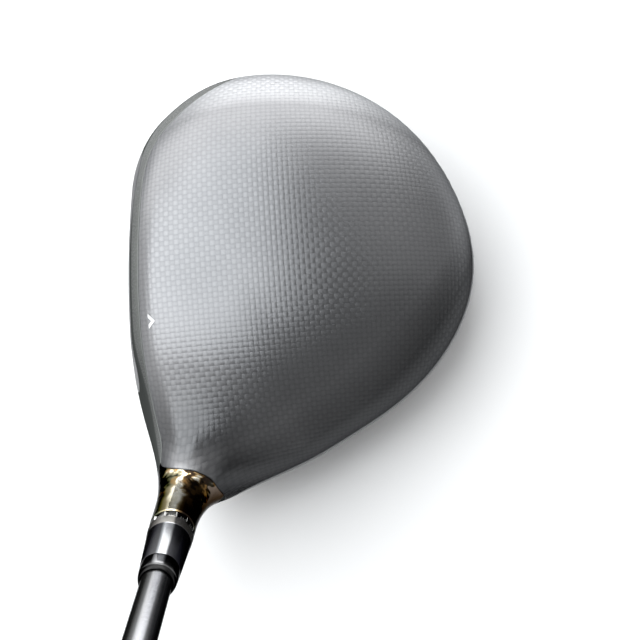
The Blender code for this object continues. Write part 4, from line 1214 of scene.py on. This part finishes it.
def round_parts():
    """Every spun piece: name, body, slot, finish, node, steps round and profile."""
    steel = metal("turned_steel", (0.52, 0.52, 0.53), 0.28)
    dark_steel = metal("black_steel", (0.13, 0.13, 0.14), 0.35)
    port_metal = metal("port_titanium", (0.33, 0.32, 0.31), 0.4, grain=0.05)
    brass = metal("insert_brass", (0.72, 0.56, 0.28), 0.3)
    cork = moulded("plug_cork", (0.50, 0.33, 0.19), 0.85, grain=0.4, scale=900.0)
    paper = moulded("tape_paper", (0.74, 0.70, 0.60), 0.85, grain=0.2, tint=0.06)
    nylon = moulded("retainer_nylon", (0.72, 0.70, 0.64), 0.5, tint=0.05)
    hosel_parts = [
        ("sleeve_barrel", "shaft_assembly", "sleeve_aluminium", sleeve_finish_and_painted_highlight(), "loft_sleeve", 144,
         [(4.5, 49.0), (splined_tip, 49.6), (splined_tip, 56.0), (5.1, 56.05), (5.1, 83.8), (6.1, 83.8),
          (notched, 84.2), (notched, 86.8), (6.55, BAND_LOW), (6.52, 88.4), (6.42, BAND_HIGH), (6.36, 90.45),
          (5.68, SLEEVE_TOP), (4.57, SLEEVE_TOP), (4.57, 62.0), (4.1, 62.0), (4.1, 49.0)]),
        ("ferrule_ring", "shaft_assembly", "ferrule_plastic", ferrule_finish_and_painted_highlight(), "ferrule", 112,
         [(4.7, 106.3), (5.65, 106.3), (5.5, 109.9), (5.35, 111.3), (5.1, 112.3), (4.85, FERRULE_TOP),
          (4.7, FERRULE_TOP)]),
        ("shaft_tube", "shaft_assembly", "shaft_graphite", shaft_finish_and_painted_highlight(), "shaft", 112,
         [(4.25, 62.4), (4.37, FERRULE_TOP)] + [(shaft_radius(h), h) for h in np.arange(160.0, 1150.0, 45.0)]
         + [(7.5, SHAFT_END), (6.6, SHAFT_END), (3.47, FERRULE_TOP), (3.35, 62.4)]),
        ("insert_bush", "shaft_assembly", "insert_brass", brass, "sleeve_insert", 72,
         [(3.8, 49.3), (3.8, 52.0), (3.6, 52.2), (3.6, 53.0), (3.8, 53.2), (3.8, 60.8), (2.75, 60.8),
          (2.75, 49.3)]),
        ("tip_cork", "shaft_assembly", "plug_cork", cork, "tip_plug", 64,
         [(0.0, 63.0), (2.95, 63.0), (3.0, 64.0), (3.0, 73.0), (2.8, 74.0), (0.0, 74.0)]),
        ("tape_layer", "shaft_assembly", "grip_tape_paper", paper, "grip_tape", 72,
         [(shaft_radius(896.0) + 0.6, 896.0), (shaft_radius(1154.0) + 0.6, 1154.0),
          (shaft_radius(1154.0) + 0.25, 1154.0), (shaft_radius(896.0) + 0.25, 896.0)]),
        ("retainer_ring", "head", "retainer_nylon", nylon, "screw_retainer", 72,
         [(4.5, 14.0), (4.5, 15.4), (3.2, 15.4), (3.2, 14.0)]),
        ("washer_ring", "screw_washer", "washer_steel", steel, "screw_washer", 72,
         [(4.4, 29.9), (4.4, 30.7), (2.75, 30.7), (2.75, 29.9)]),
        ("sleeve_screw", "hosel_screw", "screw_steel", dark_steel, "hosel_screw", 96,
         [(0.0, 28.2), (star(2.4), 28.2), (star(2.4), 25.2), (3.9, 25.2), (4.2, 25.6), (4.2, 29.6),
          (2.45, 29.6), (2.45, 40.0), (2.25, 40.3)] + screw_thread(41.0, 57.5, 2.25, 2.45)
         + [(2.25, 58.2), (1.9, 59.0), (0.0, 59.0)]),
    ]
    for name, body, slot, finish, node, count, profile in hosel_parts:
        take_place(spun(name, profile, HOSEL_FOOT, HOSEL_AXIS, count), body, slot, finish, node)
    cup = [(7.8, -1.1), (6.8, -1.1), (6.8, -7.2), (2.2, -7.2), (2.2, -14.5), (3.6, -14.5), (3.6, -9.0),
           (7.3, -9.0), (7.3, -1.5), (7.8, -1.5)]
    disc = [(6.5, -6.8), (6.5, -3.4), (knurled, -3.3), (knurled, -2.3), (6.1, -1.9), (5.2, -1.9), (5.0, -2.1),
            (4.6, -2.1), (4.4, -1.9), (4.0, -1.9), (4.0, -4.6), (2.25, -4.6), (2.25, -6.8)]
    screw = ([(0.0, -13.6), (1.5, -13.6)] + screw_thread(-13.0, -7.4, 1.7, 1.9)
             + [(1.9, -7.0), (1.9, -4.3), (3.6, -4.3), (3.6, -2.5), (3.3, -2.2), (star(2.1), -2.2),
                (star(2.1), -4.0), (0.0, -4.0)])
    for end in ("front", "rear"):
        pieces = [("weight_cup", "head", "port_titanium", port_metal, "weight_port", cup),
                  ("weight_disc", end + "_weight", "weight_steel", steel, "weight", disc),
                  ("weight_bolt", end + "_weight_screw", "screw_steel", dark_steel, "weight_screw", screw)]
        for name, body, slot, finish, node, profile in pieces:
            piece = spun(end + "_" + name, profile, *weight_frame(end))
            take_place(piece, body, slot, finish, end + "_" + node)


def screw_thread(low, high, root, crest, pitch=0.8):
    """Thread crests as stacked ridges."""
    rows = []
    for height in np.arange(low, high, pitch):
        rows += [(root, height), (crest, height + 0.25), (crest, height + 0.4), (root, height + 0.65)]
    return rows


# ---------------------------------------------------------------- studio
CAMERA_PLACE = (0.071579, -0.101634, 0.566801)
CAMERA_RIGHT = Vector((0.99524475, -0.02290491, -0.09467448))
CAMERA_UP = Vector((0.03777059, 0.98666051, 0.15834906))

# Each glow: direction, where it starts and where it is full (as the dot product with it), strength.
AMBIENT = 0.14
TOE_GLOW = ((-0.17, 0.985, 0.0), 0.45, 0.95, 3.8)
OTHER_GLOWS = [((-1.0, 0.0, 0.05), 0.25, 0.9, 1.15), ((-0.557, -0.321, 0.766), 0.84, 1.0, 1.15),
               ((0.78, 0.36, 0.51), 0.78, 1.0, 0.4), ((0.33, 0.85, 0.40), 0.84, 1.0, 0.75),
               ((0.45, -0.89, 0.1), 0.6, 1.0, 0.14)]


def studio():
    bpy.ops.mesh.primitive_plane_add(size=8.0)
    floor = bpy.context.object
    floor.name = "studio_floor"
    wear(floor, floor_finish())

    lens = bpy.data.cameras.new("camera")
    lens.lens = 98.44
    lens.sensor_width = 36.0
    lens.clip_start = 0.02
    camera = bpy.data.objects.new("camera", lens)
    bpy.context.collection.objects.link(camera)
    turn = Matrix((CAMERA_RIGHT, CAMERA_UP, CAMERA_RIGHT.cross(CAMERA_UP))).transposed()
    camera.matrix_world = Matrix.Translation(CAMERA_PLACE) @ turn.to_4x4()
    bpy.context.scene.camera = camera

    soft_box("overhead_box", (-1.05, 1.35, 2.0), (2.6, 3.9), 100.0, (0.95, 0.98, 1.0))

    world = bpy.data.worlds.new("studio_world")
    bpy.context.scene.world = world
    world.use_nodes = True
    tree = world.node_tree
    background = tree.nodes["Background"]
    look = Field(tree, put(tree, "TexCoord").outputs["Generated"])
    near_ground = look.along((0.0, 0.0, 1.0)).spread(0.30, 0.60, 1.0, 0.0)
    level = side_glow(look, *TOE_GLOW) * near_ground + AMBIENT
    for glow in OTHER_GLOWS:
        level = level + side_glow(look, *glow)
    tree.links.new(level.socket, background.inputs["Strength"])
    background.inputs["Color"].default_value = (1.0, 1.0, 1.0, 1.0)
    bpy.context.scene.view_settings.view_transform = "Standard"


def side_glow(look, direction, start, full, strength):
    """A soft brightening of the surroundings towards one side."""
    return look.along(direction).spread(start, full, 0.0, strength, interpolation_type="SMOOTHSTEP")


def soft_box(name, place, size, power, colour):
    light = bpy.data.lights.new(name, "AREA")
    light.shape = "RECTANGLE"
    light.size, light.size_y = size
    light.energy = power
    light.color = colour
    made = bpy.data.objects.new(name, light)
    made.location = place
    made.visible_camera = False
    bpy.context.collection.objects.link(made)


# ---------------------------------------------------------------- assembly
def build():
    studio()
    crown_weave_with_painted_shading = woven("crown_weave_with_painted_shading", (0.150, 0.152, 0.158), (0.242, 0.244, 0.250), 0.34, 0.94,
                        relief=0.025e-3, painted_shading=crown_painted_shading, Anisotropic=0.45, Specular_Tint=CROWN_EDGE_TINT)
    dark_weave = woven("dark_weave", (0.008, 0.008, 0.009), (0.035, 0.036, 0.039), 0.3, 0.2,
                       Coat_Weight=0.7, Coat_Roughness=0.06)
    face_weave = woven("face_weave", (0.008, 0.008, 0.010), (0.030, 0.031, 0.036), 0.42, 0.2)
    take_place(crown_panel(), "head", "crown_carbon", crown_weave_with_painted_shading, "crown_panel")
    take_place(sole_panel(), "head", "sole_carbon", dark_weave, "sole_panel")
    take_place(face_plate(), "head", "face_carbon", face_weave, "face_plate")
    take_place(front_collar(), "head", "polished_titanium", collar_finish_and_painted_reflection(), "front_collar")
    take_place(rear_ring(), "head", "ring_aluminium",
               metal("ring_satin", (0.16, 0.165, 0.17), 0.36, grain=0.03), "rear_ring")
    rubber = moulded("slot_rubber", (0.03, 0.03, 0.032), 0.7, grain=0.1)
    take_place(pocket_insert(), "head", "slot_rubber", rubber, "pocket_insert")
    take_place(sound_rib_skin(), "head", "rib_carbon", moulded("rib_carbon", (0.05, 0.05, 0.052), 0.5),
               "sound_rib")
    take_place(crown_mark(), "head", "crown_carbon",
               moulded("mark_white", (0.78, 0.79, 0.79), 0.35, grain=0.01, tint=0.04))
    round_parts()
    grip_rubber = moulded("grip_rubber", (0.028, 0.028, 0.029), 0.72, grain=0.18, scale=2200.0,
                          Sheen_Weight=0.15)
    take_place(grip_surface(), "shaft_assembly", "grip_rubber", grip_rubber, "grip")


build()
